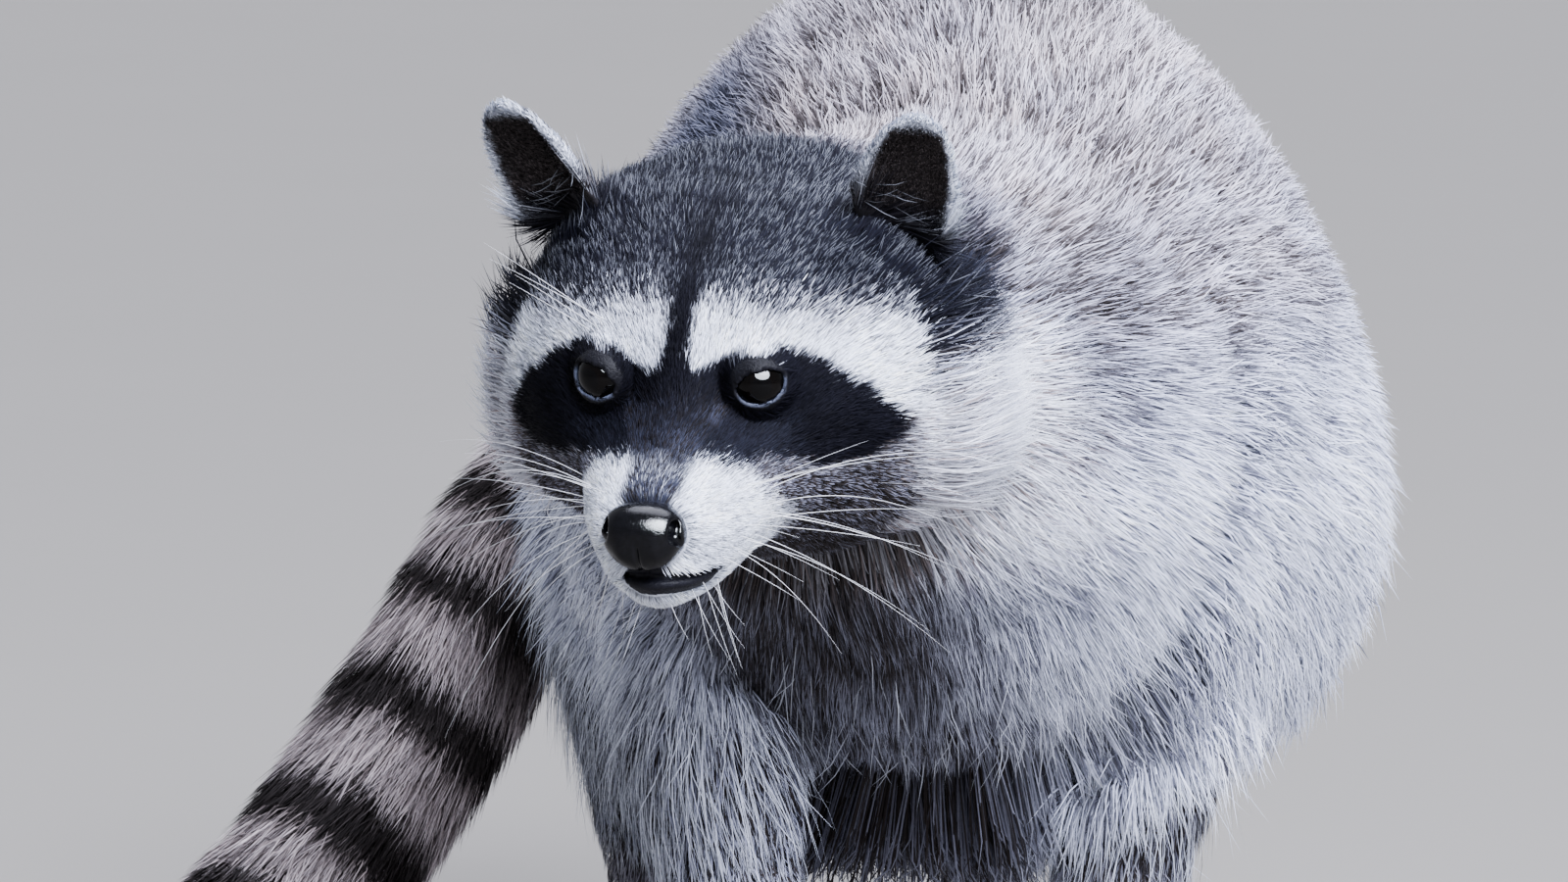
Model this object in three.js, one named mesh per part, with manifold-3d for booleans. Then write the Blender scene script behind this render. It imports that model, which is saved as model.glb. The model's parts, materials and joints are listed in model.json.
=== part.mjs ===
// A raccoon standing on all fours with its back arched, its head turned a little to its right
// and its ringed tail swept to its right and laid on the ground.
// Units are millimetres. +Z is up, the animal faces -Y and its left side is on +X.
// Every surface is the outline of the coat, out to the tips of the hair.
import * as THREE from "three";
import { LoftGeometry } from "three/addons/geometries/LoftGeometry.js";
import { mergeVertices } from "three/addons/utils/BufferGeometryUtils.js";
import Module from "manifold-3d";

const wasm = await Module();
wasm.setup();

// ---- Driving dimensions ----
const GAP = 0.3; // clearance between neighbouring pieces

const HEAD_CENTRE = [-60, -200, 255]; // middle of the skull
const HEAD_YAW = 16.5; // degrees to the animal's right
const HEAD_PITCH = 12; // degrees nose down
const HEAD_ROLL = 0.5; // degrees, left side down

const EYE = { radius: 8.7, out: 22.4, forward: 36, up: 16.5 };
const NOSE = { forward: 80, up: -16, halfWidth: 12.3, halfDepth: 8.5, halfHeight: 9.6 };
const NOSTRIL = { out: 5.4, forward: 87.5, up: -14.5, radius: 2.6 };
const MOUTH_UP = -31; // level of the mouth line in the head's own frame
const EAR = { out: 50, back: 14, up: 42, height: 48, halfWidth: 16.5, cup: 8, thick: 4.2 };
const EAR_ROOT = -0.45; // share of its height that is sunk in the head
const EAR_LEAN = [0.28, -0.34, 0.89]; // towards the side, the front and the top
const EAR_FACING = [0.3, -1, -0.1]; // where the hollow of the left ear looks

const SPINE_SIDES = 24;
const PALM_SIDES = 10;
const LEG_SIDES = 12;
const TAIL_SIDES = 14;
const TOE_SIDES = 6;
const CLAW_SIDES = 5;

const CLAW = { length: 9, radius: 1.7, drop: 4 };

// ---- The head's own frame: +X its left, -Y its nose, +Z its crown ----
const headMatrix = new THREE.Matrix4()
  .makeTranslation(...HEAD_CENTRE)
  .multiply(new THREE.Matrix4().makeRotationZ(THREE.MathUtils.degToRad(-HEAD_YAW)))
  .multiply(new THREE.Matrix4().makeRotationX(THREE.MathUtils.degToRad(HEAD_PITCH)))
  .multiply(new THREE.Matrix4().makeRotationY(THREE.MathUtils.degToRad(HEAD_ROLL)));
const headInverse = headMatrix.clone().invert();
const headPoint = (x, y, z) => new THREE.Vector3(x, y, z).applyMatrix4(headMatrix);
const headDirection = (x, y, z) => new THREE.Vector3(x, y, z).transformDirection(headMatrix);

// Swellings and hollows of the left half of the head, in its own frame, mirrored on the right:
// where each is, how far it reaches and by how much it moves the surface.
const RELIEF = [
  { at: [18, -60, -20], reach: 12, move: [2.6, -0.6, 0] }, // whisker pad
  { at: [24, -26, 33], reach: 14, move: [0.5, -3, 2] }, // brow
  { at: [22, -46, 12], reach: 13, move: [-2, 6.5, -0.5] }, // eye hollow
  { at: [62, 6, -22], reach: 26, move: [5, 0, -2] }, // cheek ruff
  { at: [32, -42, -34], reach: 15, move: [-2.5, 1, 0] }, // hollow behind the mouth
  { at: [44, 22, 50], reach: 22, move: [2, 0, 5] }, // crown fur about the ear
];

function relief(point) {
  const local = point.clone().applyMatrix4(headInverse);
  const half = Math.sign(local.x);
  for (const { at, reach, move } of RELIEF) {
    const away = new THREE.Vector3(half * at[0], at[1], at[2]).sub(local);
    const share = Math.exp(-away.lengthSq() / reach ** 2);
    local.add(new THREE.Vector3(half * move[0], move[1], move[2]).multiplyScalar(share));
  }
  return local.applyMatrix4(headMatrix);
}

// ---- Stations: centre, half width, reach upwards and reach downwards of each cross section ----
const headStation = (back, up, wide, above, below) => ({
  at: headPoint(0, back, up),
  size: [wide, above, below],
});
const station = (x, y, z, wide, above, below = above) => ({
  at: new THREE.Vector3(x, y, z),
  size: [wide, above, below],
});

const SPINE = {
  muzzle: [
    headStation(-81, -20, 7, 8, 12),
    headStation(-75, -20, 15, 13.5, 20),
    headStation(-64, -18.5, 20.5, 17.5, 25.5),
    headStation(-52, -15, 26, 21, 30),
  ],
  head: [
    headStation(-42, -11, 32, 24, 33),
    headStation(-32, -7.5, 43, 36.5, 37.5),
    headStation(-19, -4.5, 57, 49.5, 43),
    headStation(-3, -3, 67, 59, 49),
    headStation(15, -4.5, 72, 67, 52),
  ],
  neck: [
    headStation(38, -10, 76, 77, 55),
    station(-31, -124, 245, 87, 77, 80),
  ],
  chest: [
    station(-6, -80, 237, 104, 90, 113),
    station(11, -28, 231, 117, 116, 127),
  ],
  belly: [
    station(17, 26, 227, 127, 137, 132),
    station(12, 82, 229, 123, 140, 128),
  ],
  rump: [
    station(-8, 132, 229, 110, 126, 117),
    station(-30, 174, 225, 92, 101, 97),
    station(-50, 206, 217, 67, 71, 69),
    station(-63, 226, 208, 42, 44, 43),
    station(-69, 236, 203, 16, 17, 17),
  ],
};
const BELLY_SAG = 0.17; // the trunk is wider below its middle than above it
const SPINE_ROWS = 36;

const TAIL = [
  station(-58, 200, 214, 23, 23),
  station(-82, 230, 203, 28, 28),
  station(-111, 238, 180, 31, 31),
  station(-133, 230, 150, 32, 32),
  station(-151, 216, 117, 33, 33),
  station(-172, 199, 85, 34, 34),
  station(-194, 176, 55, 33, 33),
  station(-215, 150, 35, 31, 33),
  station(-231, 123, 27, 26, 29),
  station(-241, 103, 21, 15, 18),
  station(-245, 96, 19, 4, 5),
];
const TAIL_CUTS = [0, 0.38, 0.66, 1]; // shares of the stations, where the tail is parted
const TAIL_ROWS = 16;

// A leg's stations run from inside the trunk to the ankle or wrist: half width across, reach
// forwards and reach backwards. The foot's run from the heel to the roots of the toes.
const LIMBS = {
  fore_left: {
    names: ["foreleg_left", "forearm_left", "forepaw_left"],
    stations: [
      station(60, -74, 205, 34, 40, 44),
      station(66, -74, 165, 36, 40, 43),
      station(64, -72, 128, 30, 32, 35),
      station(60, -74, 98, 23.5, 24, 26),
      station(56, -80, 68, 17.5, 18, 19),
      station(54, -86, 44, 14, 14.5, 14.5),
      station(54, -91, 14, 12, 12, 12),
    ],
    split: 0.5,
    foot: { heel: [54, -80], turn: 6, length: 40, halfWidth: 17, height: 25, toe: 31, spread: 13 },
  },
  fore_right: {
    names: ["foreleg_right", "forearm_right", "forepaw_right"],
    stations: [
      station(-60, -84, 205, 34, 40, 44),
      station(-64, -86, 165, 36, 40, 43),
      station(-62, -86, 128, 30, 32, 35),
      station(-58, -90, 98, 23.5, 24, 26),
      station(-56, -98, 68, 17.5, 18, 19),
      station(-55, -106, 44, 14, 14.5, 14.5),
      station(-55, -111, 14, 12, 12, 12),
    ],
    split: 0.5,
    foot: { heel: [-55, -100], turn: -10, length: 40, halfWidth: 17, height: 25, toe: 31, spread: 13 },
  },
  hind_left: {
    names: ["thigh_left", "shank_left", "hindfoot_left"],
    stations: [
      station(50, 130, 205, 50, 68, 62),
      station(60, 126, 160, 50, 62, 58),
      station(64, 123, 120, 37, 47, 43),
      station(65, 135, 87, 24, 29, 27),
      station(65, 150, 60, 17, 19, 18),
      station(66, 158, 38, 15, 16, 16),
      station(66, 160, 14, 12.5, 13, 13),
    ],
    split: 0.5,
    foot: { heel: [66, 178], turn: 4, length: 66, halfWidth: 18, height: 24, toe: 30, spread: 11 },
  },
  hind_right: {
    names: ["thigh_right", "shank_right", "hindfoot_right"],
    stations: [
      station(-68, 118, 205, 50, 68, 62),
      station(-76, 110, 160, 48, 60, 58),
      station(-81, 103, 120, 36, 46, 42),
      station(-83, 112, 87, 24, 29, 27),
      station(-84, 124, 60, 17, 19, 18),
      station(-85, 132, 38, 15, 16, 16),
      station(-85, 134, 14, 12.5, 13, 13),
    ],
    split: 0.5,
    foot: { heel: [-85, 152], turn: -12, length: 66, halfWidth: 18, height: 24, toe: 30, spread: 11 },
  },
};
const LEG_ROWS = 8;
const TOES = 5;
const TOE_END = 2.4; // how far a toe runs on beyond its last full section

// ---- Materials ----
const material = (color, roughness, metalness = 0) =>
  new THREE.MeshStandardMaterial({ color, roughness, metalness });
const GREY_FUR = material(0x8d8a8c, 0.9);
const FACE_FUR = material(0x6b696e, 0.9);
const PALE_FUR = material(0xdedce0, 0.9);
const TAIL_FUR = material(0x6f6660, 0.9);
const LEG_FUR = material(0x6a6668, 0.9);
const EAR_FUR = material(0xbdbbc0, 0.9);
const NOSE_LEATHER = material(0x0c0c0e, 0.3);
const EYE_GLOSS = material(0x0d0907, 0.05);
const CLAW_HORN = material(0x2b2522, 0.4);

// ---- Lofting ----
// One ring of points about a centre: S is its side, U its upper direction and both square to the path.
function ring(centre, tangent, hint, [wide, above, below], sides, sag = 0) {
  const side = new THREE.Vector3().crossVectors(hint, tangent).normalize();
  const upper = new THREE.Vector3().crossVectors(tangent, side).normalize();
  return Array.from({ length: sides }, (_, i) => {
    const angle = (i / sides) * 2 * Math.PI;
    const across = Math.cos(angle) * wide * (1 - sag * Math.sin(angle));
    const height = Math.sin(angle) * (Math.sin(angle) > 0 ? above : below);
    return centre.clone().addScaledVector(side, across).addScaledVector(upper, height);
  });
}

// A path through stations, whose sizes are interpolated by the same spline as its centres.
function sweep(stations, hint, sides, { grow = 0, sag = () => 0, shape = (point) => point } = {}) {
  const centres = new THREE.CatmullRomCurve3(stations.map((s) => s.at));
  const sizes = new THREE.CatmullRomCurve3(stations.map((s) => new THREE.Vector3(...s.size)));
  return (share) => {
    const centre = centres.getPoint(share);
    const size = sizes.getPoint(share).toArray().map((v) => v + grow);
    const points = ring(centre, centres.getTangent(share), hint, size, sides, sag(share));
    return points.map(shape);
  };
}

// The closed geometry of a sweep between two shares of its length.
function lofted(sectionAt, from, to, rows) {
  const sections = [];
  for (let i = 0; i <= rows; i++) sections.push(sectionAt(THREE.MathUtils.lerp(from, to, i / rows)));
  return new LoftGeometry(sections, { capStart: true, capEnd: true });
}

// ---- Solids ----
function solidOf(geometry) {
  const bare = new THREE.BufferGeometry()
    .setAttribute("position", geometry.attributes.position)
    .setIndex(geometry.index);
  const merged = mergeVertices(bare, 1e-3);
  return new wasm.Manifold(
    new wasm.Mesh({
      numProp: 3,
      vertProperties: merged.attributes.position.array,
      triVerts: new Uint32Array(merged.index.array),
    }),
  );
}

const largest = (solid) => solid.decompose().sort((a, b) => b.volume() - a.volume())[0];

const FAR = 2000;
// Everything below the ground, which flattens whatever reaches it.
const underground = solidOf(new THREE.BoxGeometry(FAR, FAR, FAR).translate(0, 0, -FAR / 2));

const animal = new THREE.Group();
animal.name = "raccoon";

function add(name, solid, look) {
  const mesh = largest(solid).getMesh();
  const geometry = new THREE.BufferGeometry()
    .setAttribute("position", new THREE.BufferAttribute(mesh.vertProperties, 3))
    .setIndex(new THREE.BufferAttribute(mesh.triVerts, 1));
  geometry.computeVertexNormals();
  const piece = new THREE.Mesh(geometry, look);
  piece.name = name;
  animal.add(piece);
}

// ---- The trunk and head: one loft from muzzle to tail root, parted at ring planes ----
const UP = new THREE.Vector3(0, 0, 1);
const spineStations = Object.values(SPINE).flat();
const spineShare = (index) => index / (spineStations.length - 1);
const HEAD_STATIONS = SPINE.muzzle.length + SPINE.head.length;
const sagAt = (share) =>
  BELLY_SAG * THREE.MathUtils.smoothstep(share, spineShare(HEAD_STATIONS), spineShare(HEAD_STATIONS + 3));

const spineSolid = (grow) =>
  solidOf(lofted(sweep(spineStations, UP, SPINE_SIDES, { grow, sag: sagAt, shape: relief }), 0, 1, SPINE_ROWS));

// A thin slab across a path, a little larger than its section there.
function partingSlab(stations, share) {
  const path = new THREE.CatmullRomCurve3(stations.map((s) => s.at));
  const sizes = new THREE.CatmullRomCurve3(stations.map((s) => new THREE.Vector3(...s.size)));
  const width = 3 * Math.max(...sizes.getPoint(share).toArray());
  const slab = new THREE.BoxGeometry(width, width, GAP);
  const turn = new THREE.Quaternion().setFromUnitVectors(UP, path.getTangent(share));
  return solidOf(slab.applyQuaternion(turn).translate(...path.getPoint(share).toArray()));
}

// The spine's pieces from front to back, under their own names.
function spinePieces() {
  let parted = spineSolid(0);
  let first = 0;
  for (const stations of Object.values(SPINE).slice(0, -1)) {
    first += stations.length;
    parted = parted.subtract(partingSlab(spineStations, spineShare(first)));
  }
  const pieces = parted.decompose().sort((a, b) => a.boundingBox().min[1] - b.boundingBox().min[1]);
  return Object.fromEntries(Object.keys(SPINE).map((name, i) => [name, pieces[i]]));
}
const spine = spinePieces();
const bodyRoom = spineSolid(GAP);

// ---- Head pieces ----
function ball(radius, [x, y, z], scale = [1, 1, 1], segments = [12, 7]) {
  const geometry = new THREE.SphereGeometry(radius, ...segments);
  return solidOf(geometry.scale(...scale).translate(x, y, z).applyMatrix4(headMatrix));
}

const SIDES = { left: 1, right: -1 };
const eyeBall = (side, grow) =>
  ball(EYE.radius + grow, [side * EYE.out, -EYE.forward, EYE.up]);

// The nose pad: a rounded block, flatter below, with a dimple for each nostril.
function nosePad(grow) {
  const geometry = new THREE.SphereGeometry(1, 12, 8);
  const place = geometry.attributes.position;
  for (let i = 0; i < place.count; i++) {
    const p = new THREE.Vector3().fromBufferAttribute(place, i);
    const taper = 1 - 0.22 * Math.max(0, -p.z); // narrower towards the lip
    place.setXYZ(
      i,
      p.x * (NOSE.halfWidth + grow) * taper,
      -NOSE.forward + p.y * (NOSE.halfDepth + grow),
      NOSE.up + p.z * (NOSE.halfHeight + grow),
    );
  }
  return solidOf(geometry.applyMatrix4(headMatrix));
}

function nose() {
  let pad = nosePad(0);
  for (const side of Object.values(SIDES)) {
    pad = pad.subtract(
      ball(NOSTRIL.radius, [side * NOSTRIL.out, -NOSTRIL.forward, NOSTRIL.up], [1.25, 1, 0.8], [8, 5]),
    );
  }
  return pad;
}

// An ear: crescent sections from its root to its rounded tip, hollow towards the front.
function ear(side) {
  const root = headPoint(side * EAR.out, EAR.back, EAR.up);
  const axis = headDirection(side * EAR_LEAN[0], EAR_LEAN[1], EAR_LEAN[2]);
  const facing = headDirection(side * EAR_FACING[0], EAR_FACING[1], EAR_FACING[2]);
  const across = new THREE.Vector3().crossVectors(facing, axis).normalize();
  const front = new THREE.Vector3().crossVectors(axis, across).normalize();
  const half = 6;
  const rows = 7;
  const sections = [];
  for (let row = 0; row <= rows; row++) {
    const rise = EAR_ROOT + (1 - EAR_ROOT) * (1 - (1 - row / rows) ** 1.6);
    const outline = Math.sqrt(Math.max(0.004, 1 - Math.max(0, rise) ** 2.6));
    const wide = EAR.halfWidth * outline * (1 + 0.3 * Math.min(0, rise));
    const cup = EAR.cup * outline;
    const thick = EAR.thick * (0.55 + 0.45 * outline);
    const centre = root.clone().addScaledVector(axis, rise * EAR.height);
    const bow = (share, depth) => {
      const angle = (share - 0.5) * Math.PI;
      return centre
        .clone()
        .addScaledVector(across, Math.sin(angle) * wide)
        .addScaledVector(front, -Math.cos(angle) * cup + depth);
    };
    const outer = Array.from({ length: half + 1 }, (_, i) => bow(i / half, -thick / 2));
    const inner = Array.from({ length: half + 1 }, (_, i) => bow(1 - i / half, thick / 2));
    sections.push([...outer, ...inner]);
  }
  return solidOf(new LoftGeometry(sections, { capStart: true, capEnd: true }));
}

// A large box whose top face is the level z = height of the head's own frame.
const belowMouth = (height) =>
  solidOf(
    new THREE.BoxGeometry(FAR, FAR, FAR).translate(0, 0, height - FAR / 2).applyMatrix4(headMatrix),
  );

function addHead() {
  const noseRoom = nosePad(GAP);
  add("nose", nose(), NOSE_LEATHER);
  add("muzzle", spine.muzzle.subtract(noseRoom).subtract(belowMouth(MOUTH_UP + GAP / 2)), PALE_FUR);
  add("jaw", spine.muzzle.subtract(noseRoom).intersect(belowMouth(MOUTH_UP - GAP / 2)), PALE_FUR);
  let skull = spine.head;
  for (const [name, side] of Object.entries(SIDES)) {
    skull = skull.subtract(eyeBall(side, GAP));
    add(`eye_${name}`, eyeBall(side, 0), EYE_GLOSS);
    add(`ear_${name}`, ear(side).subtract(bodyRoom), EAR_FUR);
  }
  add("head", skull, FACE_FUR);
}

// ---- Tail ----
function addTail() {
  const sectionAt = sweep(TAIL, UP, TAIL_SIDES);
  const length = new THREE.CatmullRomCurve3(TAIL.map((s) => s.at)).getLength();
  const inset = GAP / 2 / length;
  ["tail_root", "tail_middle", "tail_tip"].forEach((name, i) => {
    const [from, to] = [TAIL_CUTS[i], TAIL_CUTS[i + 1]];
    const rows = Math.round(TAIL_ROWS * (to - from));
    const piece = solidOf(lofted(sectionAt, i ? from + inset : from, i < 2 ? to - inset : to, rows));
    add(name, piece.subtract(bodyRoom).subtract(underground), TAIL_FUR);
  });
}

// ---- Legs ----
const FORWARD = new THREE.Vector3(0, -1, 0);

// The frame of a foot: +Y of the box runs from heel to toes along the ground.
function footFrame({ heel, turn }) {
  return new THREE.Matrix4()
    .makeTranslation(heel[0], heel[1], 0)
    .multiply(new THREE.Matrix4().makeRotationZ(THREE.MathUtils.degToRad(180 + turn)));
}

// Where each toe starts, points and ends, in the foot's frame.
function toePaths({ length, halfWidth, toe, spread }) {
  return Array.from({ length: TOES }, (_, i) => {
    const place = i / (TOES - 1) - 0.5; // from the outer to the inner toe
    const angle = THREE.MathUtils.degToRad(place * 2 * spread);
    const reach = toe * (1 - 0.9 * place * place);
    const root = new THREE.Vector3(place * 1.45 * halfWidth, length - 7 - 16 * place * place, 7.5);
    const way = new THREE.Vector3(Math.sin(angle), Math.cos(angle), 0);
    return { root, way, tip: root.clone().addScaledVector(way, reach).setZ(5.2) };
  });
}

function palmSolid(foot, grow) {
  const { length, halfWidth, height } = foot;
  const stations = [
    station(0, -4, 8, halfWidth * 0.5, 7, 8.5),
    station(0, 5, 11, halfWidth * 0.78, 12, 11.6),
    station(0, 0.35 * length, 0.48 * height, halfWidth * 0.84, 0.5 * height, 0.49 * height + 0.5),
    station(0, 0.7 * length, 9, halfWidth, 10, 9.6),
    station(0, length - 2, 7.5, halfWidth * 0.96, 7, 8),
    station(0, length + 4, 7, halfWidth * 0.7, 4, 6),
  ];
  return solidOf(lofted(sweep(stations, UP, PALM_SIDES, { grow }), 0, 1, 5));
}

function toeSolid({ root, way, tip }) {
  const behind = root.clone().addScaledVector(way, -8);
  const knuckle = root.clone().addScaledVector(way, 6);
  const end = tip.clone().addScaledVector(way, TOE_END);
  const stations = [
    station(...behind.toArray(), 4.6, 5, 6.5),
    station(...knuckle.toArray(), 4.7, 5.2, 9.4),
    station(...root.clone().lerp(tip, 0.75).toArray(), 4.1, 4.6, 7.4),
    station(...tip.toArray(), 3.2, 3.6, 4.6),
    station(...end.toArray(), 1.9, 2.1, 2.5),
  ];
  return solidOf(lofted(sweep(stations, UP, TOE_SIDES), 0, 1, 3));
}

// A claw starts flat against the end of its toe and curves down to a blunt point.
function clawSolid(foot, { way, tip }) {
  const along = (share, drop, radius) =>
    station(
      ...tip
        .clone()
        .addScaledVector(way, TOE_END + GAP + share * CLAW.length)
        .setZ(tip.z - drop * CLAW.drop)
        .toArray(),
      radius,
      radius * 1.25,
    );
  const stations = [
    along(0, 0, CLAW.radius),
    along(0.35, 0.02, CLAW.radius * 0.85),
    along(0.7, 0.3, CLAW.radius * 0.6),
    along(1, 0.85, 0.35),
  ];
  const claw = solidOf(lofted(sweep(stations, UP, CLAW_SIDES), 0, 1, 3));
  return claw.transform(footFrame(foot).toArray());
}

function addLimb({ names, stations, split, foot }) {
  const [upper, lower, paw] = names;
  const frame = footFrame(foot).toArray();
  const sectionAt = sweep(stations, FORWARD, LEG_SIDES);
  const inset = GAP / 2 / new THREE.CatmullRomCurve3(stations.map((s) => s.at)).getLength();
  const half = Math.round(LEG_ROWS / 2);
  const thigh = solidOf(lofted(sectionAt, 0, split - inset, half));
  const shank = solidOf(lofted(sectionAt, split + inset, 1, half));
  const palmRoom = palmSolid(foot, GAP).transform(frame);
  const toes = toePaths(foot);
  const whole = toes.reduce((joined, toe) => joined.add(toeSolid(toe)), palmSolid(foot, 0));
  add(upper, thigh.subtract(bodyRoom), LEG_FUR);
  add(lower, shank.subtract(bodyRoom).subtract(palmRoom), LEG_FUR);
  add(paw, whole.transform(frame).subtract(underground), LEG_FUR);
  toes.forEach((toe, i) => add(`claw_${paw}_${i + 1}`, clawSolid(foot, toe), CLAW_HORN));
}

// ---- Assembly ----
addHead();
for (const name of ["neck", "chest", "belly", "rump"]) add(name, spine[name], GREY_FUR);
addTail();
Object.values(LIMBS).forEach(addLimb);

// The origin is on the ground under the middle of the whole animal.
const box = new THREE.Box3().setFromObject(animal);
const middle = box.getCenter(new THREE.Vector3());
animal.position.set(-middle.x, -middle.y, -box.min.z);

export default animal;
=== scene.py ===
"""A life-size raccoon on all fours: skin, coat, eyes, nose, claws and whiskers over a fixed frame.

Metres. +Z is up, the animal faces -Y and its left side is on +X.
"""

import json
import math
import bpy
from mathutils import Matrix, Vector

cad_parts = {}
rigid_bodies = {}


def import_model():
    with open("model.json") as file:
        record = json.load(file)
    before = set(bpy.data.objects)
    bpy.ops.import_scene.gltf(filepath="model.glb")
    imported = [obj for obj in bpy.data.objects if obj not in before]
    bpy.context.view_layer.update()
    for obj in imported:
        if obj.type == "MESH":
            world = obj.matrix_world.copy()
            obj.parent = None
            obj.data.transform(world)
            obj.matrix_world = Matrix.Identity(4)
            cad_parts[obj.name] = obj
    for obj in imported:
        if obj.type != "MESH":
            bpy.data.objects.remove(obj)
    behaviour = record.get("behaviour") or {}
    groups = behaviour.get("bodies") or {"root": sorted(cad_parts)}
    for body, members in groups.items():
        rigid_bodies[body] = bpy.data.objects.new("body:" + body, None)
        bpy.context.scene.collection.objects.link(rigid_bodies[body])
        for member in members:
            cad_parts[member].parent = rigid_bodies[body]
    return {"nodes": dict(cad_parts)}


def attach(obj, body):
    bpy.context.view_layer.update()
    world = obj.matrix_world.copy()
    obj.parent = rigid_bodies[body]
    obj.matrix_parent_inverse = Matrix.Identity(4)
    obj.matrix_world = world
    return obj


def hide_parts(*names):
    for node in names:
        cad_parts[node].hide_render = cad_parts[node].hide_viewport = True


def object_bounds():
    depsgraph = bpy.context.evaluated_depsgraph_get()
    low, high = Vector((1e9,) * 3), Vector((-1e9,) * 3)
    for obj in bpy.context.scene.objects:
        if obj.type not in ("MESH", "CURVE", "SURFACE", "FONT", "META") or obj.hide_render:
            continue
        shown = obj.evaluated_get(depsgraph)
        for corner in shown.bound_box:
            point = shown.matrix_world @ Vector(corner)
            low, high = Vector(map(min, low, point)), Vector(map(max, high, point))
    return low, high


bl_info = {
    "name": "Raccoon on all fours",
    "version": (1, 0, 0),
    "blender": (4, 5, 0),
    "location": "View3D > Sidebar > Raccoon",
    "description": "Skin, coat, eyes, nose, claws and whiskers of a life-size raccoon over its frame",
    "category": "Add Mesh",
}

import bmesh
import bpy
import numpy as np
import openvdb
from bpy.props import FloatProperty, FloatVectorProperty, PointerProperty
from mathutils import Euler, Vector

for leftover in list(bpy.data.objects):
    bpy.data.objects.remove(leftover)
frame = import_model()
FRAME_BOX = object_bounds()

MM = 0.001

# ---- The head's own frame: +X its left, -Y its nose, +Z its crown ----
HEAD_AT = np.array([-4.82, -194.06, 255.0]) * MM
NOD, TILT, TURN = (math.radians(angle) for angle in (12, 0.5, -16.5))
HEAD_BENT = np.array(Euler((NOD, 0, 0)).to_matrix() @ Euler((0, TILT, 0)).to_matrix())
HEAD_TURN = np.array(Euler((0, 0, TURN)).to_matrix()) @ HEAD_BENT

# The frame's nodes in each region, with the coat's depth there: how far, in mm, the tips stand off
# the skin.
REGIONS = {
    "muzzle": (("muzzle",), 1.3),
    "jaw": (("jaw",), 1.6),
    "nose": (("nose",), 5.0),
    "head": (("head", "eye_left", "eye_right"), 5.0),
    "ears": (("ear_left", "ear_right"), 0.3),
    "neck": (("neck",), 17.0),
    "chest": (("chest",), 20.0),
    "belly": (("belly",), 20.0),
    "rump": (("rump",), 19.0),
    "tail": (("tail_root", "tail_middle", "tail_tip"), 20.0),
    "upper_legs": (("foreleg_left", "foreleg_right", "thigh_left", "thigh_right"), 12.0),
    "lower_legs": (("forearm_left", "forearm_right", "shank_left", "shank_right"), 5.0),
    "feet": (("forepaw_left", "forepaw_right", "hindfoot_left", "hindfoot_right"), 1.3),
}
REGION_NAMES = list(REGIONS)
# The nodes that the skin replaces.
FLESH = [node for nodes, _ in REGIONS.values() for node in nodes if not node.startswith(("eye", "nose"))]

# The tail's middle line, in mm, from its root to its tip.
TAIL_LINE = np.array([
    (-2.8, 206, 214),
    (-26.8, 236, 203),
    (-55.8, 244, 180),
    (-77.8, 236, 150),
    (-95.8, 222, 117),
    (-116.8, 205, 85),
    (-138.8, 182, 55),
    (-159.8, 156, 35),
    (-175.8, 129, 27),
    (-185.8, 109, 21),
    (-189.8, 102, 19),
]) * MM

FINE = 1.5 * MM  # voxel of the fine distance field; the coarse one's is twice that
LID_REFLECTION = np.array([0.10, 0.115, 0.17])  # colour of the painted reflection along the lower lids' moist edges
made = {}  # what one operator leaves for the next: fields, the skin's arrays

# Landmarks of the head in its own frame, in mm; those beside the middle are the left one's.
NOSE_FRONT = np.array([0, -92, -12])
NOSE_PAD, PAD_SIZE = np.array([0, -79, -16]), np.array([12.0, 9.2, 9.6])
EAR_ROOT = np.array([50, 14, 42])
EAR_LEAN = np.array([0.28, -0.34, 0.89])
EAR_FACING = np.array([0.3, -1, -0.1])
EAR_LENGTH, EAR_HALF_WIDTH = 48, 16.5


# ---- Numbers ----
def smoothstep(low, high, x):
    """0 below low, 1 above high and a soft step between; low may be the larger one."""
    t = np.clip((x - low) / (high - low), 0, 1)
    return t * t * (3 - 2 * t)


def unit(v):
    """The same directions with a length of one."""
    return v / np.maximum(np.linalg.norm(v, axis=-1, keepdims=True), 1e-12)


def dot(a, b):
    """Row by row, as a column."""
    return (a * b).sum(-1, keepdims=True)


def mix(a, b, share):
    """From a to b by that share."""
    return a + (b - a) * share


def smooth_min(a, b, k):
    """The smaller value, rounded over a width of k where the two meet."""
    h = np.clip(0.5 + 0.5 * (b - a) / k, 0, 1)
    return b + (a - b) * h - k * h * (1 - h)


def smooth_max(a, b, k):
    """The larger value, rounded in the same way."""
    return -smooth_min(-a, -b, k)


def to_head(points):
    """Points in the head's own frame, in mm."""
    return (points - HEAD_AT) @ HEAD_TURN / MM


def from_head(points):
    """Points of the head's own frame, in mm, back in the scene."""
    return np.asarray(points, float) * MM @ HEAD_TURN.T + HEAD_AT


def head_direction(vectors):
    """Directions of the head's own frame in the scene."""
    return np.asarray(vectors, float) @ HEAD_TURN.T


def to_left(q):
    """Points of the head's own frame mirrored to its left side."""
    return np.concatenate([np.abs(q[:, :1]), q[:, 1:]], 1)


def own_side(q):
    """Factors that turn the left side's directions into those of the side each point is on."""
    return np.stack([np.sign(q[:, 0]), np.ones(len(q)), np.ones(len(q))], 1)


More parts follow.
